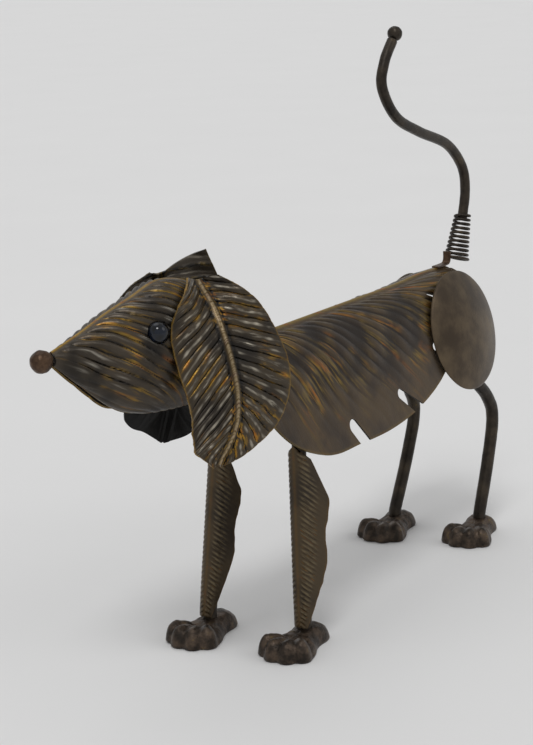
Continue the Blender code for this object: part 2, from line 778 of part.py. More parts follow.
def make_neck(material, group):
    """A rod from under the front of the back up to the crown."""
    clear = LEG_ROD / 2 + SHEET / 2 + BODY_RIPPLE + GAP
    rear = SPINE_FRONT + NECK_SEAT
    steps = 8
    rest = SPINE_HEIGHT
    for k in range(steps):
        aside = clear * k / steps
        roof = flank_height(SPINE_FRONT, aside)
        rest = min(rest, roof - math.sqrt(clear ** 2 - aside ** 2))
    under = rest - GAP
    head_under = CROWN[2] + SNOUT_RIDGE[0] - NECK_END_DROP
    bends = vectors(((0.0, rear, under), (0.0, SPINE_FRONT - LEG_ROD / 2, under),
                     (0.0, CROWN[1] + LEG_ROD, under + LEG_ROD * 1.5),
                     (0.0, CROWN[1] + LEG_ROD / 2, head_under)))
    points = [along(bends, k / 8) for k in range(9)]
    rod("neck_rod", points, LEG_ROD, material, group)


# Tail

def tail_point(place):
    """A point of the tail from its distance behind the midrib's rear end and above it."""
    return Vector((0.0, SPINE_REAR + place[0], SPINE_HEIGHT + place[1]))


def make_tail(rod_finish, spring_finish, group):
    """Conical spring, bent rod and ball."""
    foot, head = tail_point(SPRING_FOOT), tail_point(SPRING_HEAD)
    axis = (head - foot).normalized()
    side = Vector((1.0, 0.0, 0.0))
    front = side.cross(axis).normalized()
    if front.y > 0:
        front = front * -1
    per_turn = 7
    head_radius = (TAIL_ROD / 2 + GAP / 2 + SPRING_WIRE / 2) / math.cos(math.pi / per_turn)
    steps = round(SPRING_TURNS * per_turn)
    coil = []
    for k in range(steps + 1):
        share = k / steps
        turn = 2 * math.pi * k / per_turn
        radius = SPRING_FOOT_RADIUS + (head_radius - SPRING_FOOT_RADIUS) * share
        radius += SPRING_FLARE * max(1 - 2 * k / per_turn, 0.0) ** 2
        coil.append(foot.lerp(head, share) + (side * math.sin(turn) + front * math.cos(turn)) * radius)
    rod("tail_spring", coil, SPRING_WIRE, spring_finish, group, 1)
    bends = [tail_point(place) for place in TAIL_BEND]
    steps = 26
    points = [along(bends, k / steps) for k in range(steps + 1)]
    rod("tail_rod", points, TAIL_ROD, rod_finish, group)
    lead = (points[-1] - points[-2]).normalized()
    tip = points[-1] + lead * (TAIL_BALL_RADIUS + GAP)
    ball("tail_ball", tip, TAIL_BALL_RADIUS, rod_finish, group, None, 10, 7)
    return coil[0]


def make_bracket(wire_end, material, group):
    """A strip that lies on the leaf's rear tip and turns up to the end of the spring's wire."""
    rest = SHEET + BODY_RIPPLE + GAP
    bend_back = wire_end.y - SPRING_WIRE / 2 - GAP - SHEET / 2
    start = SPINE_REAR - BRACKET_OVERLAP
    level = spine_height(start) + rest
    corner = BRACKET_BEND * (1 - math.cos(math.pi / 4))
    path = [(start, level), (bend_back - BRACKET_BEND, level), (bend_back - corner, level + corner),
            (bend_back, level + BRACKET_BEND), (bend_back, level + BRACKET_RISE)]
    rows = [[Vector((BRACKET_WIDTH * half / 2, back, height)) for half in (1, 0, -1)]
            for back, height in path]
    sheet_from_rows("tail_bracket", rows, material, group)


def centre_on_floor(group):
    """Stand the dog with the middle of its box over the origin."""
    bpy.context.view_layer.update()
    graph = bpy.context.evaluated_depsgraph_get()
    low = Vector((math.inf, math.inf, math.inf))
    high = -low
    for item in group.objects:
        ready = item.evaluated_get(graph)
        mesh = ready.to_mesh()
        for vert in mesh.vertices:
            spot = ready.matrix_world @ vert.co
            low = Vector(map(min, low, spot))
            high = Vector(map(max, high, spot))
        ready.to_mesh_clear()
    middle = (low + high) / 2
    shift = Vector((-middle.x, -middle.y, -low.z))
    for item in bpy.data.objects:
        if item.parent is None:
            item.location = item.location + shift


def main():
    """Build the dog."""
    clear_scene()
    dog = new_collection("leaf_dog")
    cutters = new_collection("cutters")
    leaf = finish("bronze_brown_leaf", BRONZE_BROWN, 0.42, 0.7)
    ear = finish("bronze_brown_ear", BRONZE_BROWN, 0.42, 0.7)
    plate = finish("warm_brown_plate", WARM_BROWN, 0.36, 0.6)
    iron = finish("dark_iron", DARK_IRON, 0.45, 0.7)
    paw = finish("cast_brown_paw", WARM_BROWN, 0.5, 0.6)
    glass = finish("blue_black_glass", BLUE_BLACK, 0.08, 0.0)
    make_body(plate, dog, cutters)
    make_disc("left_haunch_disc", 1, plate, dog)
    make_disc("right_haunch_disc", -1, plate, dog)
    make_legs(iron, paw, dog, cutters)
    make_leg_leaf("left_leg_leaf", 1, leaf, dog)
    make_leg_leaf("right_leg_leaf", -1, leaf, dog)
    make_head(leaf, ear, glass, plate, dog, cutters)
    make_neck(iron, dog)
    wire_end = make_tail(iron, iron, dog)
    make_bracket(wire_end, leaf, dog)
    centre_on_floor(dog)


main()
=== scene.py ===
"""Dog figure of pressed steel leaves, bent rod and cast paws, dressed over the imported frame."""
import math

import bmesh
import bpy
import numpy as np
from mathutils import Matrix, Vector, noise


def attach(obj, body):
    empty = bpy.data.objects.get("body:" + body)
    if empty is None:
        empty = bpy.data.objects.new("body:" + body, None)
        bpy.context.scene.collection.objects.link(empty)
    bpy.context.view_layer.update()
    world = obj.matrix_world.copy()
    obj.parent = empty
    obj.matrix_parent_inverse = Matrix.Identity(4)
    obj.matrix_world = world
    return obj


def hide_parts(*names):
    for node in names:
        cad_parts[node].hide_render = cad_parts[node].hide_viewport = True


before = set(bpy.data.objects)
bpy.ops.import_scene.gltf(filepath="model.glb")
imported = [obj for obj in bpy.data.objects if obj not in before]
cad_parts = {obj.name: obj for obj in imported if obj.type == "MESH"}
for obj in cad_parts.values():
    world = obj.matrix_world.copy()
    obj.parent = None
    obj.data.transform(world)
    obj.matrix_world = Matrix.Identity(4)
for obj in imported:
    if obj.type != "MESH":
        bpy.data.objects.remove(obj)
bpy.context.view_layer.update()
SIDES = ((1, "left"), (-1, "right"))

# Sizes shared with the solids, in metres; y is measured from the middle of the wheelbase
FRAME_SHIFT = Vector((0.0, 0.049371, 0.0))
SHEET = 0.001
LEG_ROD = 0.008
TAIL_ROD = 0.0064
SPRING_WIRE = 0.0018
GAP = 0.0003
WHEELBASE = 0.215
FORE_TRACK = 0.0568
HIND_TRACK = 0.0522
FORE_STAGGER = 0.0052
HIND_STRIDE = 0.0093
FORE_SPLAY = 0.059
FORE_RAKE = 0.087
SOCKET_FLOOR = 0.0035
ANKLE_TOP = 0.012
HIP_HEIGHT = 0.135
HIP_AHEAD = {1: 0.0085, -1: 0.0110}
# Bends of a hind leg: distance back, and shares of the hip's height and of its way inwards
HOCK = ((0.0150, 0.326, 0.0), (0.0245, 0.533, 0.0), (0.0180, 0.652, 0.0), (0.0030, 0.763, 0.2),
        (-0.0080, 0.889, 0.8))

PAW_AHEAD = 0.0345
PAW_BEHIND = 0.0180
PAW_MIDDLE = (PAW_BEHIND - PAW_AHEAD) / 2
PAW_PLAN = (0.0230, 0.0230, 0.0212, 0.0152, 0.0118, 0.0112, 0.0138, 0.0225, 0.0262)
HEEL_HEIGHT = 0.0113
INSTEP_HEIGHT = 0.0082
INSTEP_START = -0.008
INSTEP_RUN = 0.016
PAW_EDGE = 3.6
TOE_HEIGHT = 0.0120
TOE_RADIUS = 0.0056
TOE_FAN = 23.0
TOE_SET_BACK = 0.9
TOE_STRETCH = 0.36
PAW_DIP = 0.0022
PAW_RIM = 0.0012
PAW_SOLE = 0.97
PAW_ROUGHNESS = 0.0006
PAW_GRAIN = 0.00025
# A paw's slide along y and how far its toes turn out, in degrees
PAW_SEATS = {
    "left_fore_paw": (0.0, 3.0), "right_fore_paw": (0.0028, -3.0),
    "left_hind_paw": (-0.0025, 8.0), "right_hind_paw": (0.0010, -4.0),
}

SPINE_HEIGHT = 0.1715
SPINE_FRONT = -0.131
SPINE_REAR = 0.121
SPINE_ARCH = 0.0013
ARCH_PLACE = 0.092
ARCH_SPAN = 0.022
SHOULDERS = (0.013, 0.0165)
TOP_SLOPES = (20.0, 3.0)
FLANK_SLOPES = (70.0, 78.0)
FLANK_REACH = (0.004, 0.057, 0.078, 0.082, 0.085, 0.0845, 0.0795, 0.069, 0.054, 0.030, 0.003)
FLANK_VEINS = (118.0, 96.0, 80.0, 68.0, 58.0, 50.0, 44.0)
BODY_RIPPLE = 0.0004
# Splits in a flank: place, distance from the midrib, lean in degrees, width at end and mouth
SPLITS = (
    (-0.0506, 0.0669, 34.0, 0.0086, 0.0102),
    (0.0075, 0.0636, 53.0, 0.0062, 0.0105),
    (0.0600, 0.0470, 60.0, 0.0050, 0.0080),
)
HAUNCH_SPLIT = (0.0695, 0.0165, 66.0, 0.0016, 0.0026)
SPLIT_LENGTH = 0.034
SPLIT_DEPTH = 0.008

DISC_RADIUS = 0.0375
DISC_DOME = 0.0055

CROWN = Vector((0.0, -0.1517, 0.2123))
HEAD_YAW = -15.0
SNOUT_LENGTH = 0.094
SNOUT_BACK = 0.006
SNOUT_RIDGE = (-0.0060, 0.0010, 0.0030, -0.0030, -0.0090, -0.0162, -0.0225)
SNOUT_JAW = (-0.0540, -0.0595, -0.0612, -0.0608, -0.0565, -0.0432, -0.0285)
SNOUT_HALF_WIDTH = (0.0190, 0.0220, 0.0240, 0.0225, 0.0180, 0.0110, 0.0035)
SNOUT_WRAP = (140.0, 148.0, 155.0, 160.0, 162.0, 160.0, 150.0)
NOSE_RADIUS = 0.0058
NECK_SEAT = 0.045
NECK_END_DROP = 0.004
EYE_RADIUS = 0.0056
EYE_BACK = 0.0428
EYE_TURN = 61.0

# An ear's distance from the middle, its turn, flare and pitch in degrees, and two shifts
EAR_SEATS = {
    1: (0.0300, 12.0, 8.0, 0.0, 0.0, 0.0),
    -1: (0.0266, -26.6, -1.0, 5.9, -0.0031, -0.0004),
}
EAR_MIDRIB = (
    (0.0094, 0.0042), (0.0090, -0.0100), (0.0086, -0.0250), (0.0076, -0.0400),
    (0.0073, -0.0550), (0.0100, -0.0710), (0.0183, -0.0885),
)
EAR_FOLD = {
    1: (-0.0225, -0.0080, -0.0005, 0.0030, 0.0040, 0.0030, -0.0030),
    -1: (-0.0156, -0.0050, -0.0005, 0.0030, 0.0040, 0.0030, -0.0030),
}
EAR_FRONT_REACH = {
    1: (0.0110, 0.0285, 0.0305, 0.0295, 0.030, 0.0245, 0.004),
    -1: (0.0045, 0.0245, 0.032, 0.034, 0.0345, 0.022, 0.001),
}
EAR_REAR_REACH = {
    1: (0.009, 0.025, 0.036, 0.0395, 0.032, 0.016, 0.002),
    -1: (0.0305, 0.0345, 0.028, 0.019, 0.016, 0.018, 0.001),
}
EAR_FRONT_VEINS = (105.0, 40.0)
EAR_REAR_VEINS = (100.0, 52.0)
EAR_DIP = 0.014
EAR_CURL = {1: 1.0, -1: 4.0}

LEG_LEAF_TOP = 0.112
LEG_LEAF_FOOT = 0.0115
LEG_LEAF_REACH = (0.006, 0.0145, 0.0215, 0.0185, 0.0188, 0.0125, 0.0045)
LEG_LEAF_FOLD = 68.0
LEG_LEAF_VEIN = 38.0
LEG_LEAF_RIPPLE = 0.0004
LEG_LEAF_SLACK = 0.0002
LEG_LEAF_TRIM = {1: 1.0, -1: 0.88}

SPRING_FOOT = Vector((0.0, 0.1384, 0.1740))
SPRING_HEAD = Vector((0.0, 0.1485, 0.2020))
SPRING_FOOT_RADIUS = 0.0072
SPRING_FLARE = 0.0043
SPRING_TURNS = 10.5
TAIL_BEND = (
    (0.0, 0.1474, 0.1985), (0.0, 0.1521, 0.2168), (0.0, 0.1478, 0.2332), (0.0, 0.1272, 0.2498),
    (0.0, 0.0907, 0.2618), (0.0, 0.0622, 0.2738), (0.0, 0.0462, 0.2928), (0.0, 0.0496, 0.3075),
    (0.0, 0.0597, 0.3195),
)
TAIL_BALL_RADIUS = 0.0045
SOLID_COIL_STEPS = 7
COIL_STEPS = 36
COIL_TIGHTNESS = 0.97
BRACKET_WIDTH = 0.005
BRACKET_START = 0.110
BRACKET_RISE = 0.0075
# The bracket's bend: how far before its upright, and how high, each point lies
BRACKET_BEND = ((0.004, 0.0), (0.001, 0.001), (0.0, 0.0035))

# Relief that shows only close up, in metres from valley to crest
BODY_RELIEF = 0.0015
EAR_RELIEF = 0.0018
SNOUT_RELIEF = 0.0020
LEG_LEAF_RELIEF = 0.0005
MIDRIB_RELIEF = 0.0007
BODY_VEINS = 30
EAR_VEINS = 16
SNOUT_VEIN_PITCH = 0.0052
LEG_LEAF_VEINS = 34
BODY_RIB_WIDTH = 0.0013
EAR_RIB_WIDTH = 0.0010
SNOUT_RIB_WIDTH = 0.0011
LEG_LEAF_RIB_WIDTH = 0.0009
# Grooves beside a midrib: depth, or loss of height for the finish that darkens the groove with
# painted shade, then place and width
BODY_GROOVE = (0.0004, 0.0032, 0.0012)
EAR_GROOVE = (0.0005, 0.0030, 0.0011)
EAR_GROOVE_SHADE = (0.6, 0.0030, 0.0012)
# Where the veins set in beside the midrib; the leg leaf's are shares of its reach
BODY_VEIN_START = (0.001, 0.006)
EAR_VEIN_START = (0.0012, 0.004)
SNOUT_VEIN_START = (0.0012, 0.006)
LEG_LEAF_VEIN_START = (0.06, 0.25)
# Where the veins fade out: two limits as shares, and how much of them goes
BODY_VEIN_END = (0.45, 0.85, 0.85)
BODY_REAR_FADE = (0.65, 0.9, 0.6)
EAR_VEIN_END = (0.8, 1.0, 0.6)
FAR_EAR_FADE = (0.45, 0.7, 0.9)
SNOUT_VEIN_END = (0.66, 0.85, 0.7)
SNOUT_TIP_FADE = (0.78, 0.97, 0.7)
LEG_LEAF_VEIN_END = (0.5, 0.75, 0.95)
# Rubbed rims: where they start, as a share of the reach, and how strong they are
BODY_RIM = (0.98, 0.3)
EAR_RIM = (0.97, 0.4)
SNOUT_RIM = (0.985, 0.4)
LEG_LEAF_RIM = (0.94, 0.35)
# Uneven crests: by how much, and how often along and across the leaf
BODY_UNEVEN = (0.55, 16, 5)
EAR_UNEVEN = (0.15, 20, 7)
SNOUT_UNEVEN = (0.25, 9, 7)
# Height that the finish reads where the veins have faded out
PLAIN_HEIGHT = 0.74
# A body vein's bend and spread on its way out, and its lead near the midrib
VEIN_BEND = 0.2
VEIN_SPREAD = 0.1
VEIN_LEAD = 0.10
VEIN_LEAD_FADE = 0.22
VEIN_SWEEP = 0.13
# The snout's section is taller than a circle; its veins slant with the arc, up to a limit
SNOUT_ARC_STRETCH = 1.25
SNOUT_VEIN_SLANT = 0.85
SNOUT_ARC_LIMIT = 0.08
ROD_DENTS = 0.00012
TAIL_ROD_DENTS = 0.0001
TAIL_BALL_DENTS = 0.0002
NOSE_DENTS = 0.0003
DISC_DENTS = 0.00022
DISC_EDGE = 0.0003
WALK_STEP = 0.0005
SPLIT_SAMPLE = 0.004

# The photograph's camera and the lights: place, angle across in degrees and power
CAMERA_TURN = (33.3, 13.5, -2.0)
CAMERA_DISTANCE = 1.048
CAMERA_TARGET = Vector((0.0, -0.089, 0.149))
FOCAL_PIXELS = 1900
PHOTO_PIXELS = 745
SENSOR_MM = 36
LIGHT_TARGET = Vector((0.0, 0.0, 0.12))
LIGHTS = (
    ("high_left_key", (0.35, -0.75, 1.5), 18.0, 0.85),
    ("right_rear_fill", (1.3, 0.5, 1.1), 30.0, 0.25),
    ("overhead_fill", (-0.6, 0.3, 1.6), 35.0, 0.25),
)
WORLD_POWER = 0.76
FLOOR_SIZE = 120.0
FLOOR_DROP = 0.0001


# Colour and nodes

def linear(code):
    """An sRGB hex colour as linear numbers with alpha."""
    parts = [int(code[k:k + 2], 16) / 255 for k in (1, 3, 5)]
    return (*[p / 12.92 if p <= 0.04045 else ((p + 0.055) / 1.055) ** 2.4 for p in parts], 1.0)


def add_node(tree, kind, inputs=None, **settings):
    """Add a node with its settings; an input is a value or another node's output."""
    node = tree.nodes.new("ShaderNode" + kind)
    for key, value in settings.items():
        setattr(node, key, value)
    for key, value in (inputs or {}).items():
        if isinstance(value, bpy.types.NodeSocket):
            tree.links.new(value, node.inputs[key])
        else:
            node.inputs[key].default_value = value
    return node


def new_finish(name):
    """A material with its tree, its shader and nothing else."""
    material = bpy.data.materials.new(name)
    material.use_nodes = True
    tree = material.node_tree
    return material, tree, tree.nodes["Principled BSDF"]


def ease(tree, value, low, high):
    """A value's smooth rise from 0 to 1 between two limits."""
    return add_node(tree, "MapRange", {0: value, 1: low, 2: high, 3: 0.0, 4: 1.0},
                    interpolation_type="SMOOTHSTEP", clamp=True).outputs[0]


def product(tree, first, second):
    """Two values multiplied."""
    return add_node(tree, "Math", {0: first, 1: second}, operation="MULTIPLY").outputs[0]


def tint(tree, share, first, second):
    """A mix of two colours."""
    return add_node(tree, "Mix", {0: share, 6: first, 7: second}, data_type="RGBA").outputs[2]


def clouds(tree, place, scale, detail=2.0, roughness=0.5):
    """Noise over places, about 0 to 1."""
    return add_node(tree, "TexNoise", {"Vector": place, "Scale": scale, "Detail": detail,
                                       "Roughness": roughness}).outputs[0]


def pressed_leaf_finish(name, groove, thick_paint, field, crest, gold, rust, gold_share, streaks,
                        painted_shade_below=None):
    """Brown-black patina paint on pressed steel, with painted shade in the grooves, a painted
    highlight on the crests and rubbed gold on the vein flanks, rims and midrib.
    """
    material, tree, shader = new_finish(name)
    leaf = add_node(tree, "UVMap", uv_map="leaf").outputs[0]
    relief = add_node(tree, "UVMap", uv_map="relief").outputs[0]
    height = add_node(tree, "SeparateXYZ", {0: relief})
    place = add_node(tree, "TexCoord").outputs["Object"]
    stretched = add_node(tree, "Mapping", {"Vector": leaf, "Scale": (streaks, 2.0, 1.0)})
    streak = clouds(tree, stretched.outputs[0], 1.0, 4.0, 0.6)
    # clouds of thicker and thinner paint, about 25 mm across
    cloud = clouds(tree, place, 40.0, 3.0)
    # brush grain about 1 mm across
    grain = clouds(tree, place, 900.0, 3.0)
    # thin lines that follow the veins, for the painted highlight on the crests and the rubbed gold
    thin = add_node(tree, "Mapping", {"Vector": leaf, "Scale": (streaks * 5.0, 4.0, 1.0)})
    line = clouds(tree, thin.outputs[0], 1.0, 3.0, 0.55)
    # painted shade: the groove colour darkens the low parts of the relief
    rise = ease(tree, height.outputs[0], 0.05, 0.75)
    thick = ease(tree, cloud, 0.30, 0.58)
    paint_tone = tint(tree, thick, linear(thick_paint), linear(field))
    colour = tint(tree, rise, linear(groove), paint_tone)
    # painted highlight: the tops of the crests are lightened to the crest colour along thin lines
    top = ease(tree, height.outputs[0], 0.72, 1.0)
    crest_highlight = product(tree, product(tree, top, ease(tree, line, 0.36, 0.60)), 0.8)
    colour = tint(tree, crest_highlight, colour, linear(crest))
    climb = product(tree, ease(tree, height.outputs[0], 0.06, 0.26),
                    ease(tree, height.outputs[0], 0.72, 0.42))
    flank = product(tree, climb, ease(tree, line, 0.42, 0.57))
    patch = product(tree, ease(tree, streak, 0.38, 0.60), ease(tree, cloud, 0.38, 0.60))
    worn = product(tree, product(tree, flank, patch), gold_share)
    shine = tint(tree, ease(tree, streak, 0.50, 0.66), linear(gold), linear(rust))
    colour = tint(tree, worn, colour, shine)
    edge = product(tree, height.outputs[1], ease(tree, line, 0.25, 0.50))
    colour = tint(tree, edge, colour, shine)
    # painted shade: further down the leaf the colour turns to the given near-black
    if painted_shade_below:
        down = add_node(tree, "SeparateXYZ", {0: leaf}).outputs[0]
        colour = tint(tree, ease(tree, down, 0.12, 0.34), colour, linear(painted_shade_below))
    tree.links.new(colour, shader.inputs["Base Color"])
    shader.inputs["Metallic"].default_value = 0.6
    rough = add_node(tree, "MapRange", {0: grain, 3: 0.25, 4: 0.46}).outputs[0]
    tree.links.new(rough, shader.inputs["Roughness"])
    bump = add_node(tree, "Bump", {"Height": grain, "Strength": 0.25, "Distance": 0.0003})
    fine = add_node(tree, "Bump", {"Height": streak, "Strength": 0.55, "Distance": 0.0006,
                                   "Normal": bump.outputs[0]})
    tree.links.new(fine.outputs[0], shader.inputs["Normal"])
    return material


def satin_paint(name, dark, light, gold, cloud_mm, grain_mm, metallic, roughness, dent):
    """Brushed-on satin paint over steel: soft clouds, fine grain and a little rubbed gold."""
    material, tree, shader = new_finish(name)
    place = add_node(tree, "TexCoord").outputs["Object"]
    cloud = clouds(tree, place, 1000.0 / cloud_mm, 4.0, 0.6)
    grain = clouds(tree, place, 1000.0 / grain_mm, 3.0)
    colour = tint(tree, ease(tree, cloud, 0.32, 0.68), linear(dark), linear(light))
    patch = product(tree, ease(tree, cloud, 0.58, 0.72), ease(tree, grain, 0.5, 0.65))
    colour = tint(tree, product(tree, patch, 0.5), colour, linear(gold))
    tree.links.new(colour, shader.inputs["Base Color"])
    shader.inputs["Metallic"].default_value = metallic
    rough = add_node(tree, "MapRange", {0: grain, 3: roughness - 0.08, 4: roughness + 0.1})
    tree.links.new(rough.outputs[0], shader.inputs["Roughness"])
    bump = add_node(tree, "Bump", {"Height": grain, "Strength": dent, "Distance": 0.0005})
    tree.links.new(bump.outputs[0], shader.inputs["Normal"])
    return material


def polished_glass_finish():
    """Blue-black glass bead: nearly black, with a sharp highlight."""
    material, tree, shader = new_finish("blue_black_glass_eye")
    place = add_node(tree, "TexCoord").outputs["Object"]
    depth = clouds(tree, place, 300.0)
    colour = tint(tree, ease(tree, depth, 0.4, 0.65), linear("#04060a"), linear("#0c1422"))
    tree.links.new(colour, shader.inputs["Base Color"])
    shader.inputs["Roughness"].default_value = 0.05
    shader.inputs["Specular IOR Level"].default_value = 0.4
    return material


# Mesh tools

def clamp(value):
    """A number held between 0 and 1."""
    return min(max(value, 0.0), 1.0)


def along(values, share):
    """Smooth curve through evenly spaced numbers or vectors, share from 0 to 1."""
    last = len(values) - 1
    place = clamp(share) * last
    i = min(int(place), last - 1)
    f = place - i
    b, c = values[i], values[i + 1]
    a = values[i - 1] if i > 0 else b * 2 - c
    d = values[i + 2] if i + 2 <= last else c * 2 - b
    bend = (a * 2 - b * 5 + c * 4 - d) * f * f
    twist = (b * 3 - a - c * 3 + d) * f * f * f
    return (b * 2 + (c - a) * f + bend + twist) * 0.5


def vectors(points):
    """Tuples as vectors."""
    return [Vector(point) for point in points]


def swell(place):
    """Section of pressed veins: broad rounded swells with narrow grooves, 0 to 1."""
    return abs(math.sin(math.pi * place)) ** 0.75


def ramp(value, low, high):
    """Smooth rise from 0 to 1 between two limits."""
    t = clamp((value - low) / (high - low))
    return t * t * (3 - 2 * t)


def wobble(x, y, seed):
    """Slow irregular number from -1 to 1."""
    return noise.noise(Vector((x, y, seed)))


def bell(distance, width):
    """Smooth bump: 1 at no distance, nearly 0 two widths away."""
    return math.exp(-(distance / width) ** 2)


def groove_at(distance, depth, place, width):
    """Depth of a groove that runs beside a midrib."""
    return depth * bell(distance - place, width)


def faded(value, low, high, loss):
    """A factor of 1 up to the low limit, smaller by the loss from the high one."""
    return 1.0 - loss * ramp(value, low, high)


def uneven(share, t, seed, size, rows, columns):
    """A factor that makes crests higher and lower over a leaf."""
    return 1 - size + size * wobble(share * rows, t * columns, seed)


def shown_height(crest, fade):
    """The height that the finish reads: the crest where veins show, plain paint elsewhere; low
    heights get painted shade and high ones a painted highlight.
    """
    return crest * fade + PLAIN_HEIGHT * (1 - fade)


def rim_rub(t, start, strength):
    """How much the rim of a leaf is rubbed."""
    return ramp(t, start, 1.0) * strength


def mesh_from(shape, name):
    """A finished shape as a mesh."""
    mesh = bpy.data.meshes.new(name)
    shape.to_mesh(mesh)
    shape.free()
    return mesh


def settle(piece, node, material):
    """Put a piece in the frame in place of its node."""
    piece.data.materials.clear()
    piece.data.materials.append(material)
    bpy.context.view_layer.update()
    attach(piece, "root")
    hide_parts(node)
    return piece


def applied(item, name):
    """A piece's mesh with its modifiers made real."""
    graph = bpy.context.evaluated_depsgraph_get()
    mesh = bpy.data.meshes.new_from_object(item.evaluated_get(graph))
    mesh.name = name
    item.modifiers.clear()
    item.data = mesh
    mesh.shade_smooth()
    mesh.set_sharp_from_angle(angle=math.radians(45))
    return item


def leaf_sheet(name, grid, cutters=(), matrix=None):
    """A sheet from rows of (point, leaf place, height, rubbing), the last three as surface maps."""
    columns = len(grid[0])
    spots = [spot for row in grid for spot in row]
    faces = []
    for i in range(len(grid) - 1):
        for j in range(columns - 1):
            corner = i * columns + j
            faces.append((corner, corner + 1, corner + columns + 1, corner + columns))
    mesh = bpy.data.meshes.new(name)
    mesh.from_pydata([tuple(spot[0]) for spot in spots], [], faces)
    order = np.array([loop.vertex_index for loop in mesh.loops])
    for label, pairs in (("leaf", [spot[1] for spot in spots]),
                         ("relief", [spot[2:] for spot in spots])):
        layer = mesh.uv_layers.new(name=label)
        layer.data.foreach_set("uv", np.array(pairs)[order].astype(np.float32).ravel())
    mesh.shade_smooth()
    item = bpy.data.objects.new(name, mesh)
    bpy.context.scene.collection.objects.link(item)
    solid = item.modifiers.new("thickness", "SOLIDIFY")
    solid.thickness = SHEET
    solid.offset = 0.0
    for cutter in cutters:
        cut = item.modifiers.new("cut", "BOOLEAN")
        cut.operation = "DIFFERENCE"
        cut.object = cutter
    bpy.context.view_layer.update()
    applied(item, name)
    for cutter in cutters:
        bpy.data.objects.remove(cutter, do_unlink=True)
    item.data.transform(Matrix.Translation(FRAME_SHIFT) @ (matrix or Matrix.Identity(4)))
    return item


def plain_object(name, mesh, matrix=None):
    """A mesh as an object, moved into the frame."""
    mesh.transform(Matrix.Translation(FRAME_SHIFT) @ (matrix or Matrix.Identity(4)))
    item = bpy.data.objects.new(name, mesh)
    bpy.context.scene.collection.objects.link(item)
    return item


def round_rod(name, points, diameter, sides=28, end_round=0.0006, dents=0.0):
    """A round rod along points, with eased ends, as a mesh."""
    shape = bmesh.new()
    tangents = []
    for k, point in enumerate(points):
        before = points[max(k - 1, 0)]
        after = points[min(k + 1, len(points) - 1)]
        tangents.append((after - before).normalized())
    normal = Vector((1.0, 0.0, 0.0))
    stations = []
    for k, (point, run) in enumerate(zip(points, tangents)):
        normal = (normal - run * normal.dot(run)).normalized()
        stations.append((point, run, normal.copy(), diameter / 2))
    first, last = stations[0], stations[-1]
    stations[0] = (first[0] + first[1] * end_round, *first[1:])
    stations[-1] = (last[0] - last[1] * end_round, *last[1:])
    small = diameter / 2 - end_round
    stations.insert(0, (*first[:3], small))
    stations.append((*last[:3], small))
    loops = []
    for point, run, normal, radius in stations:
        across = run.cross(normal)
        loop = []
        for k in range(sides):
            turn = 2 * math.pi * k / sides
            way = normal * math.cos(turn) + across * math.sin(turn)
            spot = point + way * radius
            if dents > 0:
                spot += way * dents * noise.noise(spot * 300.0)
            loop.append(shape.verts.new(spot))
        loops.append(loop)
    for near, far in zip(loops, loops[1:]):
        for k in range(sides):
            following = (k + 1) % sides
            shape.faces.new((near[k], near[following], far[following], far[k]))
    shape.faces.new(list(reversed(loops[0])))
    shape.faces.new(loops[-1])
    bmesh.ops.recalc_face_normals(shape, faces=shape.faces)
    mesh = mesh_from(shape, name)
    mesh.shade_smooth()
    mesh.set_sharp_from_angle(angle=math.radians(50))
    return plain_object(name, mesh)


def round_ball(name, centre, radius, dents=0.0):
    """A ball, with the small dents of a forged one."""
    shape = bmesh.new()
    bmesh.ops.create_uvsphere(shape, u_segments=48, v_segments=32, radius=radius)
    for vert in shape.verts:
        vert.co += vert.co.normalized() * dents * noise.noise(vert.co * 350.0)
    mesh = mesh_from(shape, name)
    mesh.shade_smooth()
    return plain_object(name, mesh, Matrix.Translation(centre))


# Body leaf

def flank_profile(back, distance):
    """How far out and how far down the flank is at a distance from the midrib."""
    share = clamp((back - SPINE_FRONT) / (SPINE_REAR - SPINE_FRONT))
    shoulder, top, low = (pair[0] + (pair[1] - pair[0]) * share
                          for pair in (SHOULDERS, TOP_SLOPES, FLANK_SLOPES))
    steps = 24
    out = 0.0
    down = 0.0
    for k in range(steps):
        middle = distance * (k + 0.5) / steps
        slope = math.radians(low - (low - top) * bell(middle, shoulder))
        out += math.cos(slope) * distance / steps
        down += math.sin(slope) * distance / steps
    return out, down


def spine_height(back):
    """Height of the midrib."""
    return SPINE_HEIGHT + SPINE_ARCH * bell(back - ARCH_PLACE, ARCH_SPAN)


def flank_height(back, out_wanted):
    """Height of the flank where it is so far out from the middle plane."""
    distance = 0.0
    out = 0.0
    down = 0.0
    while out < out_wanted:
        distance += WALK_STEP
        out, down = flank_profile(back, distance)
    return spine_height(back) - down


def flank_out(back, height):
    """How far out from the middle plane the flank is at a height."""
    distance = 0.0
    out = 0.0
    down = 0.0
    while spine_height(back) - down > height:
        distance += WALK_STEP
        out, down = flank_profile(back, distance)
    return out


def flank_point(side, back, distance, lift=0.0):
    """A point of the body leaf; lift moves it outwards from the sheet."""
    out, down = flank_profile(back, distance)
    slope = math.radians(FLANK_SLOPES[0])
    if distance < SHOULDERS[0]:
        slope = slope * distance / SHOULDERS[0]
    out += lift * math.sin(slope)
    down -= lift * math.cos(slope)
    return Vector((side * out, back, spine_height(back) - down))


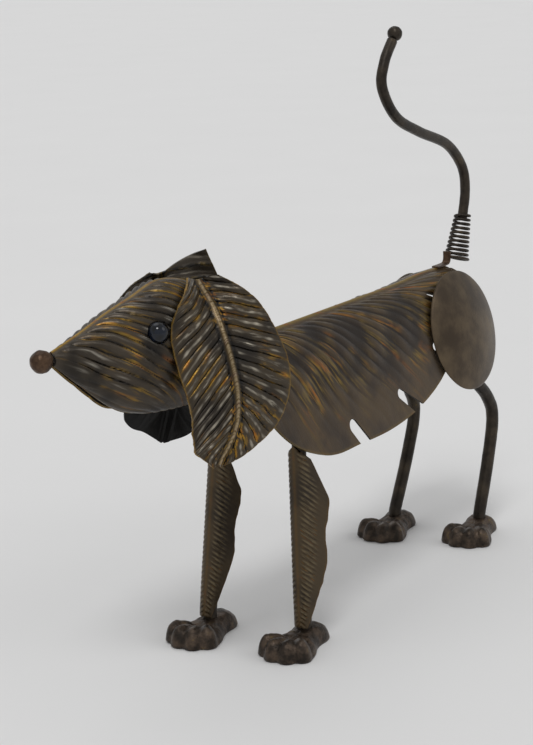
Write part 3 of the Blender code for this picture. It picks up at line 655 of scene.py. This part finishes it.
def split_cutter(side, split):
    """A tapered slot with a round end, standing across the flank."""
    back, distance, lean, end_width, mouth_width = split
    bottom = flank_point(side, back, distance + SPLIT_SAMPLE)
    top = flank_point(side, back, distance - SPLIT_SAMPLE)
    down = (bottom - top).normalized()
    rear = Vector((0.0, 1.0, 0.0))
    run = (down * math.cos(math.radians(lean)) + rear * math.sin(math.radians(lean))).normalized()
    across = rear.cross(down).normalized()
    out = run.cross(across).normalized()
    start = flank_point(side, back, distance) + run * end_width / 2
    outline = [start + run * SPLIT_LENGTH - out * mouth_width / 2,
               start + run * SPLIT_LENGTH + out * mouth_width / 2]
    arc_steps = 16
    for k in range(arc_steps + 1):
        turn = math.pi * k / arc_steps
        outline.append(start + (out * math.cos(turn) - run * math.sin(turn)) * end_width / 2)
    depth = across * SPLIT_DEPTH
    shape = bmesh.new()
    near = [shape.verts.new(point - depth) for point in outline]
    far = [shape.verts.new(point + depth) for point in outline]
    shape.faces.new(near)
    shape.faces.new(list(reversed(far)))
    for k in range(len(outline)):
        following = (k + 1) % len(outline)
        shape.faces.new((near[following], near[k], far[k], far[following]))
    bmesh.ops.recalc_face_normals(shape, faces=shape.faces)
    item = bpy.data.objects.new("split", mesh_from(shape, "split"))
    bpy.context.scene.collection.objects.link(item)
    return item


def make_body_leaf(material):
    """The back and flanks: veins leave the midrib almost along it and sweep down to the rear."""
    rows, half_columns = 260, 56
    grid = []
    for i in range(rows + 1):
        share = i / rows
        start = SPINE_FRONT + (SPINE_REAR - SPINE_FRONT) * share
        angle = math.radians(along(FLANK_VEINS, share))
        reach = max(along(FLANK_REACH, share), 0.002)
        line = []
        for j in range(-half_columns, half_columns + 1):
            side = -1 if j < 0 else 1
            t = (abs(j) / half_columns) ** 1.25
            back = start + reach * t * math.cos(angle) * (1 + VEIN_BEND - VEIN_BEND * t)
            distance = reach * t * math.sin(angle) * (1 - VEIN_SPREAD + VEIN_SPREAD * t)
            vein = share + VEIN_LEAD * math.exp(-t / VEIN_LEAD_FADE) - VEIN_SWEEP * t
            vein += 0.022 * wobble(share * 6, t * 2.5, 3.0 + side)
            crest = swell(vein * BODY_VEINS) * uneven(share, t, 8.0 + side, *BODY_UNEVEN)
            fade = ramp(distance, *BODY_VEIN_START) * faded(t, *BODY_VEIN_END)
            fade *= faded(share, *BODY_REAR_FADE)
            midrib = bell(distance, BODY_RIB_WIDTH)
            lift = BODY_RELIEF * (crest - 0.5) * fade + MIDRIB_RELIEF * midrib
            lift -= groove_at(distance, *BODY_GROOVE)
            line.append((flank_point(side, back, distance, lift), (vein, side * t),
                         clamp(shown_height(crest, fade)), max(midrib, rim_rub(t, *BODY_RIM))))
        grid.append(line)
    cutters = [split_cutter(side, split) for side in (1, -1) for split in SPLITS]
    cutters.append(split_cutter(1, HAUNCH_SPLIT))
    piece = leaf_sheet("body_leaf_pressed", grid, cutters)
    return settle(piece, "body_leaf", material)


def make_discs(material):
    """Domed haunch plates, laid over the solids' own rims."""
    for side, word in SIDES:
        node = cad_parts[f"{word}_haunch_disc"]
        corners = [node.matrix_world @ vert.co for vert in node.data.vertices]
        centre = sum(corners, Vector()) / len(corners)
        cloud = np.array([tuple(c - centre) for c in corners])
        axis = Vector(np.linalg.svd(cloud, full_matrices=False)[2][2]).normalized()
        if axis.x * side < 0:
            axis = -axis
        low = min((c - centre).dot(axis) for c in corners)
        rim = centre + axis * (low + SHEET)
        turn = axis.to_track_quat("Z", "Y").to_matrix().to_4x4()
        rings, segments = 28, 128
        shape = bmesh.new()
        outline = []
        for k in range(1, rings + 1):
            radius = DISC_RADIUS * k / rings
            outline.append((radius, DISC_DOME * (1 - (radius / DISC_RADIUS) ** 2)))
        outline[-1] = (DISC_RADIUS - DISC_EDGE, outline[-1][1])
        outline.append((DISC_RADIUS, -DISC_EDGE))
        outline.append((DISC_RADIUS, -SHEET + DISC_EDGE))
        outline += [(r, z - SHEET) for r, z in reversed(outline[:rings])]
        top = shape.verts.new((0.0, 0.0, DISC_DOME))
        bottom = shape.verts.new((0.0, 0.0, DISC_DOME - SHEET))
        loops = []
        for radius, height in outline:
            loop = []
            for k in range(segments):
                a = 2 * math.pi * k / segments
                x, y = radius * math.cos(a), radius * math.sin(a)
                soft = DISC_DENTS * wobble(x * 55, y * 55, 4.0 + side)
                loop.append(shape.verts.new((x, y, height + soft)))
            loops.append(loop)
        for k in range(segments):
            following = (k + 1) % segments
            shape.faces.new((top, loops[0][k], loops[0][following]))
            shape.faces.new((bottom, loops[-1][following], loops[-1][k]))
            for near, far in zip(loops, loops[1:]):
                shape.faces.new((near[k], far[k], far[following], near[following]))
        mesh = mesh_from(shape, f"{word}_haunch_disc_spun")
        mesh.shade_smooth()
        mesh.set_sharp_from_angle(angle=math.radians(40))
        mesh.transform(Matrix.Translation(rim - FRAME_SHIFT) @ turn)
        piece = plain_object(mesh.name, mesh)
        settle(piece, f"{word}_haunch_disc", material)


# Legs and paws

def ankle(side, fore):
    """Where a leg meets its paw, on the floor plane."""
    if fore:
        return Vector((side * FORE_TRACK / 2, -WHEELBASE / 2 + side * FORE_STAGGER, 0.0))
    return Vector((side * HIND_TRACK / 2, WHEELBASE / 2 + side * HIND_STRIDE, 0.0))


def fore_leg_points(side):
    """Straight rod, splayed a little, up to the underside of the body leaf."""
    foot = ankle(side, True)
    lean = Vector((side * -FORE_SPLAY, FORE_RAKE, 1.0))
    knee = foot + Vector((0, 0, ANKLE_TOP))
    clear = LEG_ROD / 2 + SHEET + BODY_RIPPLE + GAP
    rise = SPINE_HEIGHT - ANKLE_TOP
    for _ in range(4):
        top = knee + lean * rise
        rise = flank_height(top.y, abs(top.x) + clear) - SHEET - ANKLE_TOP
    return [foot + Vector((0, 0, SOCKET_FLOOR + GAP)), knee, knee + lean * rise]


def hind_leg_points(side):
    """Rod with a hock, up to the inside of the body leaf under the haunch disc."""
    ahead = HIP_AHEAD[side]
    clear = LEG_ROD / 2 + SHEET + BODY_RIPPLE + GAP
    tuck = flank_out(WHEELBASE / 2 - ahead, HIP_HEIGHT) - clear - HIND_TRACK / 2
    bends = [(0.0, 0.0, ANKLE_TOP)]
    for number, (back, rise, drawn_in) in enumerate(HOCK):
        slid = (ahead - HIP_AHEAD[1]) * number / len(HOCK)
        bends.append((tuck * drawn_in, back - slid, HIP_HEIGHT * rise))
    bends.append((tuck, -ahead, HIP_HEIGHT))
    bends = vectors(bends)
    foot = Vector((side * HIND_TRACK / 2, WHEELBASE / 2, 0.0))
    points = [ankle(side, False) + Vector((0, 0, SOCKET_FLOOR + GAP))]
    steps = 60
    for k in range(steps + 1):
        bend = along(bends, k / steps)
        swing = side * HIND_STRIDE * (HIP_HEIGHT - bend.z) / (HIP_HEIGHT - ANKLE_TOP)
        points.append(foot + Vector((side * bend.x, bend.y + swing, bend.z)))
    return points


def toe_centres():
    """Middles of the four toes, fanned about the middle of the paw; the outer two sit back."""
    reach = (PAW_BEHIND + PAW_AHEAD) / 2 - TOE_RADIUS
    centres = []
    for k in (-1.5, -0.5, 0.5, 1.5):
        turn = math.radians(TOE_FAN * k)
        out = reach * (TOE_SET_BACK if abs(k) > 1 else 1.0)
        centres.append((out * math.sin(turn), PAW_MIDDLE - out * math.cos(turn)))
    return centres


def paw_outline(turn, toes):
    """Radius of the paw's plan about its middle at a turn, 0 at the toes."""
    radius = along(PAW_PLAN, abs(turn) / math.pi)
    for x, y in toes:
        ahead = x * math.sin(turn) - (y - PAW_MIDDLE) * math.cos(turn)
        aside = x * math.cos(turn) + (y - PAW_MIDDLE) * math.sin(turn)
        if ahead > 0 and abs(aside) < TOE_RADIUS:
            radius = max(radius, ahead + math.sqrt(TOE_RADIUS ** 2 - aside ** 2))
    return radius


def paw_height(x, y, edge, toes):
    """Height of the paw's top: a rounded heel, an instep that falls forwards and long toes."""
    fall = clamp((-y - INSTEP_START) / INSTEP_RUN)
    base = HEEL_HEIGHT + (INSTEP_HEIGHT - HEEL_HEIGHT) * fall
    base *= max(1 - edge ** PAW_EDGE, 0.0) ** 0.5
    height = base - PAW_DIP * ramp(-y, 0.010, 0.020)
    for toe_x, toe_y in toes:
        run = Vector((toe_x, toe_y - PAW_MIDDLE)).normalized()
        spot = Vector((x - toe_x, y - toe_y))
        lengthwise = spot.dot(run)
        aside = spot.x * run.y - spot.y * run.x
        if lengthwise < 0:
            lengthwise *= TOE_STRETCH
        inside = 1 - (lengthwise ** 2 + aside ** 2) / TOE_RADIUS ** 2
        if inside > 0:
            height = max(height, TOE_HEIGHT * inside ** 0.5)
    return max(height, PAW_RIM)


def make_paws(material):
    """Cast paws with rounded toes, worn grooves and a rough skin."""
    toes = toe_centres()
    segments, rings = 112, 34
    for name, (slide, toe_out) in PAW_SEATS.items():
        side = 1 if name.startswith("left") else -1
        fore = "fore" in name
        shape = bmesh.new()
        loops = []
        top = shape.verts.new((0.0, PAW_MIDDLE, paw_height(0.0, PAW_MIDDLE, 0.0, toes)))
        for ring in range(1, rings + 1):
            edge = (ring / rings) ** 0.75
            loop = []
            for k in range(segments):
                turn = 2 * math.pi * (k + 0.5) / segments - math.pi
                radius = paw_outline(turn, toes) * edge
                x, y = radius * math.sin(turn), PAW_MIDDLE - radius * math.cos(turn)
                height = paw_height(x, y, edge, toes)
                rough = wobble(x * 260, y * 260, side + 2.0 * fore)
                fine = wobble(x * 900, y * 900, 5.0 + side)
                height += (PAW_ROUGHNESS * rough + PAW_GRAIN * fine) * min(height / 0.004, 1.0)
                loop.append(shape.verts.new((x, y, height)))
            loops.append(loop)
        sole = [shape.verts.new((v.co.x * PAW_SOLE, v.co.y * PAW_SOLE, 0.0)) for v in loops[-1]]
        loops.append(sole)
        for k in range(segments):
            following = (k + 1) % segments
            shape.faces.new((top, loops[0][k], loops[0][following]))
            for inner, outer in zip(loops, loops[1:]):
                shape.faces.new((inner[k], outer[k], outer[following], inner[following]))
        shape.faces.new(list(reversed(sole)))
        bmesh.ops.smooth_vert(shape, verts=[v for v in shape.verts if v.co.z > 0.0016],
                              factor=0.5, use_axis_x=True, use_axis_y=True, use_axis_z=True)
        bmesh.ops.recalc_face_normals(shape, faces=shape.faces)
        mesh = mesh_from(shape, name + "_cast")
        mesh.shade_smooth()
        seat = Matrix.Translation(ankle(side, fore) + Vector((0.0, slide, 0.0)))
        turned = Matrix.Rotation(side * math.radians(toe_out), 4, "Z")
        piece = plain_object(mesh.name, mesh, seat @ turned)
        settle(piece, name, material)


def make_legs(material):
    """Bent rods with a faintly hammered skin."""
    for side, word in SIDES:
        ends = fore_leg_points(side)
        points = [ends[0].lerp(ends[1], k / 6) for k in range(6)]
        points += [ends[1].lerp(ends[2], k / 40) for k in range(41)]
        piece = round_rod(f"{word}_fore_leg_rod", points, LEG_ROD, dents=ROD_DENTS)
        settle(piece, f"{word}_fore_leg", material)
        piece = round_rod(f"{word}_hind_leg_rod", hind_leg_points(side), LEG_ROD, dents=ROD_DENTS)
        settle(piece, f"{word}_hind_leg", material)


def leg_leaf_point(axis, height, reach, lift):
    """A point of a leg leaf: reach runs round the fold and on to the rear."""
    share = (height - axis[0].z) / (axis[1].z - axis[0].z)
    centre = axis[0].lerp(axis[1], share)
    radius = LEG_ROD / 2 + GAP + SHEET / 2 + LEG_LEAF_RIPPLE + LEG_LEAF_SLACK + lift
    fold = math.radians(LEG_LEAF_FOLD)
    turn = min(abs(reach) / radius, fold)
    straight = max(abs(reach) - radius * fold, 0.0)
    across = radius * math.sin(turn) + straight * math.cos(fold)
    ahead = radius * math.cos(turn) - straight * math.sin(fold)
    return Vector((centre.x + math.copysign(across, reach), centre.y - ahead, height))


def make_leg_leaves(material):
    """Long leaves folded round the fore legs, with slanting veins and a wavy edge."""
    droop = math.tan(math.radians(LEG_LEAF_VEIN))
    long = LEG_LEAF_TOP - LEG_LEAF_FOOT
    rows, half_columns = 230, 18
    for side, word in SIDES:
        axis = fore_leg_points(side)[1:3]
        grid = []
        for i in range(rows + 1):
            share = i / rows
            start = LEG_LEAF_TOP - long * share
            reach = 0.0
            # the reach is that of the height where the slanting vein ends, so it is closed in on
            for _ in range(12):
                end = start - reach * droop
                edge = along(LEG_LEAF_REACH, (LEG_LEAF_TOP - end) / long) * LEG_LEAF_TRIM[side]
                reach = (reach + edge) / 2
            line = []
            for j in range(-half_columns, half_columns + 1):
                t = (abs(j) / half_columns) ** 1.3
                height = max(start - reach * t * droop, LEG_LEAF_FOOT - 0.0005 * share)
                vein = share + 0.006 * wobble(share * 14, t * 2, 5.0 + side)
                crest = swell(vein * LEG_LEAF_VEINS)
                fade = ramp(t, *LEG_LEAF_VEIN_START) * faded(t, *LEG_LEAF_VEIN_END)
                midrib = bell(reach * t, LEG_LEAF_RIB_WIDTH)
                lift = LEG_LEAF_RELIEF * (crest - 0.5) * fade
                wave = 1.0 + 0.05 * t * wobble(share * 16, 1.0, 9.0 + side)
                place = math.copysign(reach * t * wave, j)
                line.append((leg_leaf_point(axis, height, place, lift),
                             (vein, math.copysign(t, j)), shown_height(crest, fade),
                             max(0.25 * midrib, rim_rub(t, *LEG_LEAF_RIM))))
            grid.append(line)
        piece = leaf_sheet(f"{word}_leg_leaf_pressed", grid)
        settle(piece, f"{word}_leg_leaf", material)


# Head

HEAD = Matrix.Translation(CROWN) @ Matrix.Rotation(math.radians(HEAD_YAW), 4, "Z")


def snout_point(share, wrap_share, side, lift=0.0):
    """A point of the snout leaf; share 0 at the crown and 1 at the nose."""
    ridge = along(SNOUT_RIDGE, share)
    jaw = along(SNOUT_JAW, share)
    half = along(SNOUT_HALF_WIDTH, share)
    turn = math.radians(along(SNOUT_WRAP, share)) * wrap_share
    tall = (ridge - jaw) / (1 - math.cos(math.radians(along(SNOUT_WRAP, share))))
    forward = -SNOUT_BACK + (SNOUT_LENGTH + SNOUT_BACK) * share
    x = side * (half + lift) * math.sin(turn)
    z = ridge - tall * (1 - math.cos(turn)) + lift * math.cos(turn)
    return Vector((x, -forward, z))


def eye_centre(side):
    """Where an eye sits in the side of the snout."""
    share = (EYE_BACK + SNOUT_BACK) / (SNOUT_LENGTH + SNOUT_BACK)
    wrap = EYE_TURN / along(SNOUT_WRAP, share)
    return snout_point(share, wrap, side)


def make_snout(material):
    """The rolled muzzle leaf: veins fan from the crown and sweep down to the jaw."""
    rows, half_columns = 150, 84
    grid = []
    for i in range(rows + 1):
        share = i / rows
        forward = (SNOUT_LENGTH + SNOUT_BACK) * share
        half = along(SNOUT_HALF_WIDTH, share)
        line = []
        for j in range(-half_columns, half_columns + 1):
            side = -1 if j < 0 else 1
            wrap = abs(j) / half_columns
            arc = half * math.radians(along(SNOUT_WRAP, share)) * wrap * SNOUT_ARC_STRETCH
            slant = SNOUT_VEIN_SLANT * min(arc, SNOUT_ARC_LIMIT)
            fan = (forward + slant) / SNOUT_VEIN_PITCH
            fan += 0.35 * wobble(share * 5, wrap * 5, 12.0 + side)
            crest = swell(fan) * uneven(share, wrap, 15.0 + side, *SNOUT_UNEVEN)
            fade = ramp(arc, *SNOUT_VEIN_START) * faded(wrap, *SNOUT_VEIN_END)
            fade *= faded(share, *SNOUT_TIP_FADE)
            midrib = bell(arc, SNOUT_RIB_WIDTH)
            lift = SNOUT_RELIEF * (crest - 0.5) * fade + MIDRIB_RELIEF * 0.8 * midrib
            line.append((snout_point(share, wrap, side, lift), (fan / 20, side * arc * 16),
                         clamp(shown_height(crest, fade)),
                         max(0.9 * midrib, rim_rub(wrap, *SNOUT_RIM))))
        grid.append(line)
    cutters = []
    for side in (1, -1):
        seat = round_ball("eye_seat", eye_centre(side), EYE_RADIUS + GAP)
        seat.data.transform(Matrix.Translation(-FRAME_SHIFT))
        cutters.append(seat)
    piece = leaf_sheet("snout_leaf_pressed", grid, cutters, HEAD)
    settle(piece, "snout_leaf", material)


def ear_place(side, forward, up, out):
    """A point of an ear's hanging plane in the head frame."""
    distance, turn, flare, pitch, ahead_shift, up_shift = EAR_SEATS[side]
    turn, flare, pitch = map(math.radians, (turn, flare, pitch))
    ahead = Vector((-math.sin(turn), -math.cos(turn), 0.0))
    face = Vector((math.cos(turn) * math.cos(flare), -math.sin(turn) * math.cos(flare),
                   math.sin(flare)))
    rise = ahead.cross(face)
    if rise.z < 0:
        rise = rise * -1
    along_ahead = forward * math.cos(pitch) + up * math.sin(pitch) + ahead_shift
    along_rise = up * math.cos(pitch) - forward * math.sin(pitch) + up_shift
    point = Vector((distance, 0.0, 0.0)) + ahead * along_ahead + rise * along_rise + face * out
    return Vector((side * point.x, point.y, point.z))


def ear_point(side, share, half, distance, lift=0.0):
    """A point of an ear: half is 1 in front of its midrib and -1 behind."""
    midrib = vectors(EAR_MIDRIB)
    middle = along(midrib, share)
    step = 0.01
    ahead = along(midrib, min(share + step, 1.0)) - along(midrib, max(share - step, 0.0))
    run = ahead.normalized()
    across = Vector((-run.y, run.x))
    first, last = EAR_FRONT_VEINS if half > 0 else EAR_REAR_VEINS
    angle = math.radians(first + (last - first) * share ** 0.6)
    spot = middle + (run * math.cos(angle) + across * half * math.sin(angle)) * distance
    out = along(EAR_FOLD[side], share) * bell(distance, EAR_DIP)
    return ear_place(side, spot.x, spot.y, out - EAR_CURL[half] * distance ** 2 + lift)


def make_ears(finishes):
    """Broad leaves with a rounded midrib and deep curved veins."""
    rows, half_columns = 230, 44
    for side, word in SIDES:
        grid = []
        for i in range(rows + 1):
            share = i / rows
            line = []
            for j in range(-half_columns, half_columns + 1):
                half = 1 if j > 0 else -1
                reach = along(EAR_FRONT_REACH[side] if half > 0 else EAR_REAR_REACH[side], share)
                t = abs(j) / half_columns
                distance = reach * t
                vein = share - (0.11 if half > 0 else 0.05) * t
                vein += 0.008 * wobble(share * 9, t * 3, 20.0 + half + 3 * side)
                crest = 0.8 * swell(vein * EAR_VEINS) + 0.2 * swell(vein * EAR_VEINS * 3)
                crest = crest * uneven(share, t, 24.0 + half, *EAR_UNEVEN)
                fade = ramp(distance, *EAR_VEIN_START) * faded(t, *EAR_VEIN_END)
                if side < 0:
                    fade *= faded(share, *FAR_EAR_FADE)
                midrib = bell(distance, EAR_RIB_WIDTH)
                lift = EAR_RELIEF * (crest - 0.5) * fade + MIDRIB_RELIEF * midrib
                lift -= groove_at(distance, *EAR_GROOVE)
                # the finish's height drops in the groove beside the midrib for painted shade, and
                # rises on the midrib for a painted highlight
                shown = shown_height(crest, fade) - groove_at(distance, *EAR_GROOVE_SHADE)
                line.append((ear_point(side, share, half, distance, lift), (vein, half * t),
                             clamp(shown + 0.15 * midrib),
                             max(0.3 * midrib, rim_rub(t, *EAR_RIM))))
            grid.append(line)
        piece = leaf_sheet(f"{word}_ear_pressed", grid, (), HEAD)
        settle(piece, f"{word}_ear", finishes[side])


def make_face(eye_finish, ball_finish, rod_finish):
    """Eyes, nose and the rod that carries the head."""
    for side, word in SIDES:
        piece = round_ball(f"{word}_eye_bead", HEAD @ eye_centre(side), EYE_RADIUS)
        settle(piece, f"{word}_eye", eye_finish)
    tip = snout_point(1.0, 0.5, 1)
    nose = Vector((0.0, tip.y - NOSE_RADIUS - GAP, (SNOUT_RIDGE[-1] + SNOUT_JAW[-1]) / 2))
    piece = round_ball("nose_ball_forged", HEAD @ nose, NOSE_RADIUS, dents=NOSE_DENTS)
    settle(piece, "nose_ball", ball_finish)
    clear = LEG_ROD / 2 + SHEET / 2 + BODY_RIPPLE + GAP
    rest = SPINE_HEIGHT
    steps = 8
    for k in range(steps):
        aside = clear * k / steps
        rest = min(rest, flank_height(SPINE_FRONT, aside) - math.sqrt(clear ** 2 - aside ** 2))
    under = rest - GAP
    bends = vectors(((0.0, SPINE_FRONT + NECK_SEAT, under),
                     (0.0, SPINE_FRONT - LEG_ROD / 2, under),
                     (0.0, CROWN[1] + LEG_ROD, under + LEG_ROD * 1.5),
                     (0.0, CROWN[1] + LEG_ROD / 2, CROWN[2] + SNOUT_RIDGE[0] - NECK_END_DROP)))
    piece = round_rod("neck_rod_bent", [along(bends, k / 40) for k in range(41)], LEG_ROD)
    settle(piece, "neck_rod", rod_finish)


# Tail

def make_tail(rod_finish, spring_finish, bracket_finish):
    """Conical coil, bent rod, ball and the strip that holds the coil's foot."""
    axis = (SPRING_HEAD - SPRING_FOOT).normalized()
    side = Vector((1.0, 0.0, 0.0))
    front = side.cross(axis).normalized()
    if front.y > 0:
        front = front * -1
    # the radius of the solid's coil, whose few steps a turn stand outside the rod, drawn in a little
    head_radius = (TAIL_ROD / 2 + GAP / 2 + SPRING_WIRE / 2) / math.cos(math.pi / SOLID_COIL_STEPS)
    head_radius *= COIL_TIGHTNESS
    steps = round(SPRING_TURNS * COIL_STEPS)
    coil = []
    for k in range(steps + 1):
        share = k / steps
        turn = 2 * math.pi * k / COIL_STEPS
        radius = SPRING_FOOT_RADIUS + (head_radius - SPRING_FOOT_RADIUS) * share
        radius += SPRING_FLARE * max(1 - 2 * k / COIL_STEPS, 0.0) ** 2
        spot = SPRING_FOOT.lerp(SPRING_HEAD, share)
        coil.append(spot + (side * math.sin(turn) + front * math.cos(turn)) * radius)
    piece = round_rod("tail_spring_coil", coil, SPRING_WIRE, 12, 0.0002)
    settle(piece, "tail_spring", spring_finish)
    bends = vectors(TAIL_BEND)
    points = [along(bends, k / 120) for k in range(121)]
    piece = round_rod("tail_rod_bent", points, TAIL_ROD, dents=TAIL_ROD_DENTS)
    settle(piece, "tail_rod", rod_finish)
    tip = points[-1] + (points[-1] - points[-5]).normalized() * (TAIL_BALL_RADIUS + GAP)
    piece = round_ball("tail_ball_forged", tip, TAIL_BALL_RADIUS, dents=TAIL_BALL_DENTS)
    settle(piece, "tail_ball", rod_finish)
    rest = SHEET + BODY_RIPPLE + GAP
    bend_back = coil[0].y - SPRING_WIRE / 2 - GAP - SHEET / 2
    level = spine_height(BRACKET_START) + rest
    path = [(BRACKET_START, level)]
    path += [(bend_back - before, level + height) for before, height in BRACKET_BEND]
    path = vectors(path + [(bend_back, level + BRACKET_RISE)])
    rows, half_columns = 40, 5
    grid = []
    for k in range(rows + 1):
        spot = along(path, k / rows)
        line = []
        for j in range(-half_columns, half_columns + 1):
            across = j / half_columns
            line.append((Vector((BRACKET_WIDTH / 2 * across, spot.x, spot.y)),
                         (k / rows, across), 0.5, 0.0))
        grid.append(line)
    piece = leaf_sheet("tail_bracket_strip", grid)
    settle(piece, "tail_bracket", bracket_finish)


# Studio

def make_studio():
    """Pale floor, soft light and the camera."""
    material, tree, shader = new_finish("pale_paper_floor")
    place = add_node(tree, "TexCoord").outputs["Object"]
    fleck = clouds(tree, place, 6.0)
    colour = tint(tree, fleck, linear("#e1e1e1"), linear("#e4e4e4"))
    tree.links.new(colour, shader.inputs["Base Color"])
    shader.inputs["Roughness"].default_value = 0.9
    shader.inputs["Specular IOR Level"].default_value = 0.1
    bpy.ops.mesh.primitive_plane_add(size=FLOOR_SIZE, location=(0.0, 0.0, -FLOOR_DROP))
    floor = bpy.context.object
    floor.name = "studio_floor"
    floor.data.materials.append(material)
    world = bpy.data.worlds.new("studio_world")
    bpy.context.scene.world = world
    world.use_nodes = True
    world.node_tree.nodes["Background"].inputs[0].default_value = linear("#dcdcdc")
    world.node_tree.nodes["Background"].inputs[1].default_value = WORLD_POWER
    for name, spot, spread, power in LIGHTS:
        light = bpy.data.lights.new(name, "SUN")
        light.angle = math.radians(spread)
        light.energy = power
        lamp = bpy.data.objects.new(name, light)
        lamp.location = spot
        aim = LIGHT_TARGET - Vector(spot)
        lamp.rotation_euler = aim.to_track_quat("-Z", "Y").to_euler()
        bpy.context.scene.collection.objects.link(lamp)
    azimuth, height, roll = map(math.radians, CAMERA_TURN)
    target = CAMERA_TARGET + FRAME_SHIFT
    back = Vector((math.sin(azimuth) * math.cos(height), -math.cos(azimuth) * math.cos(height),
                   math.sin(height)))
    right = Vector((math.cos(azimuth), math.sin(azimuth), 0.0))
    up = back.cross(right)
    right_rolled = right * math.cos(roll) + up * math.sin(roll)
    up_rolled = up * math.cos(roll) - right * math.sin(roll)
    camera_data = bpy.data.cameras.new("photo_camera")
    camera_data.lens = FOCAL_PIXELS / PHOTO_PIXELS * SENSOR_MM
    camera_data.clip_start = 0.05
    camera = bpy.data.objects.new("photo_camera", camera_data)
    turn = Matrix((right_rolled, up_rolled, back)).transposed().to_4x4()
    camera.matrix_world = Matrix.Translation(target + back * CAMERA_DISTANCE) @ turn
    bpy.context.scene.collection.objects.link(camera)
    bpy.context.scene.camera = camera
    bpy.context.scene.view_settings.view_transform = "Standard"


def main():
    """Dress the dog and light it."""
    # leaf paints: groove colour as painted shade, thick paint, field, crest colour as painted
    # highlight, gold, rust, share of gold and streaks
    body = pressed_leaf_finish("patina_paint_on_body_leaf", "#241c15", "#3b3128", "#524330",
                               "#b8ad9a", "#8c7430", "#9c5c1e", 0.9, 24.0)
    bronze = pressed_leaf_finish("bronze_patina_leaf", "#0e0b08", "#251f18", "#42392c",
                                 "#cbc2b0", "#b08829", "#9d631f", 1.0, 16.0)
    muzzle = pressed_leaf_finish("bronze_patina_muzzle_leaf", "#0e0b09", "#221d17", "#443c32",
                                 "#d2cbbd", "#9b7a29", "#925a22", 1.0, 16.0)
    # the far ear's paint is a dimmer copy of the ear's, with duller painted highlights and gold and
    # a near-black painted shade over its lower part
    far_ear = pressed_leaf_finish("bronze_patina_far_ear_painted_shade", "#15120e", "#2a251e", "#403930",
                                  "#a39b8c", "#7d672f", "#7d672f", 0.5, 16.0, "#191817")
    leg_leaf = pressed_leaf_finish("bronze_patina_leg_leaf", "#261f17", "#332b21", "#483c2b",
                                   "#6e6149", "#74551f", "#86501c", 0.9, 26.0)
    plate = satin_paint("satin_brown_spun_plate", "#42372b", "#625441", "#7d6530",
                        22.0, 1.2, 0.75, 0.34, 0.10)
    iron = satin_paint("black_brown_painted_rod", "#26211c", "#423a30", "#77602c",
                       12.0, 1.0, 0.7, 0.40, 0.35)
    nose = satin_paint("bronze_brown_nose_ball", "#3b2a1e", "#5d4836", "#96742c",
                       6.0, 1.0, 0.7, 0.38, 0.3)
    cast = satin_paint("brown_painted_rough_casting", "#241d16", "#54463a", "#86752f",
                       6.0, 1.3, 0.6, 0.40, 1.0)
    glass = polished_glass_finish()
    make_body_leaf(body)
    make_discs(plate)
    make_legs(iron)
    make_paws(cast)
    make_leg_leaves(leg_leaf)
    make_snout(muzzle)
    make_ears({1: bronze, -1: far_ear})
    make_face(glass, nose, iron)
    make_tail(iron, iron, nose)
    make_studio()


main()
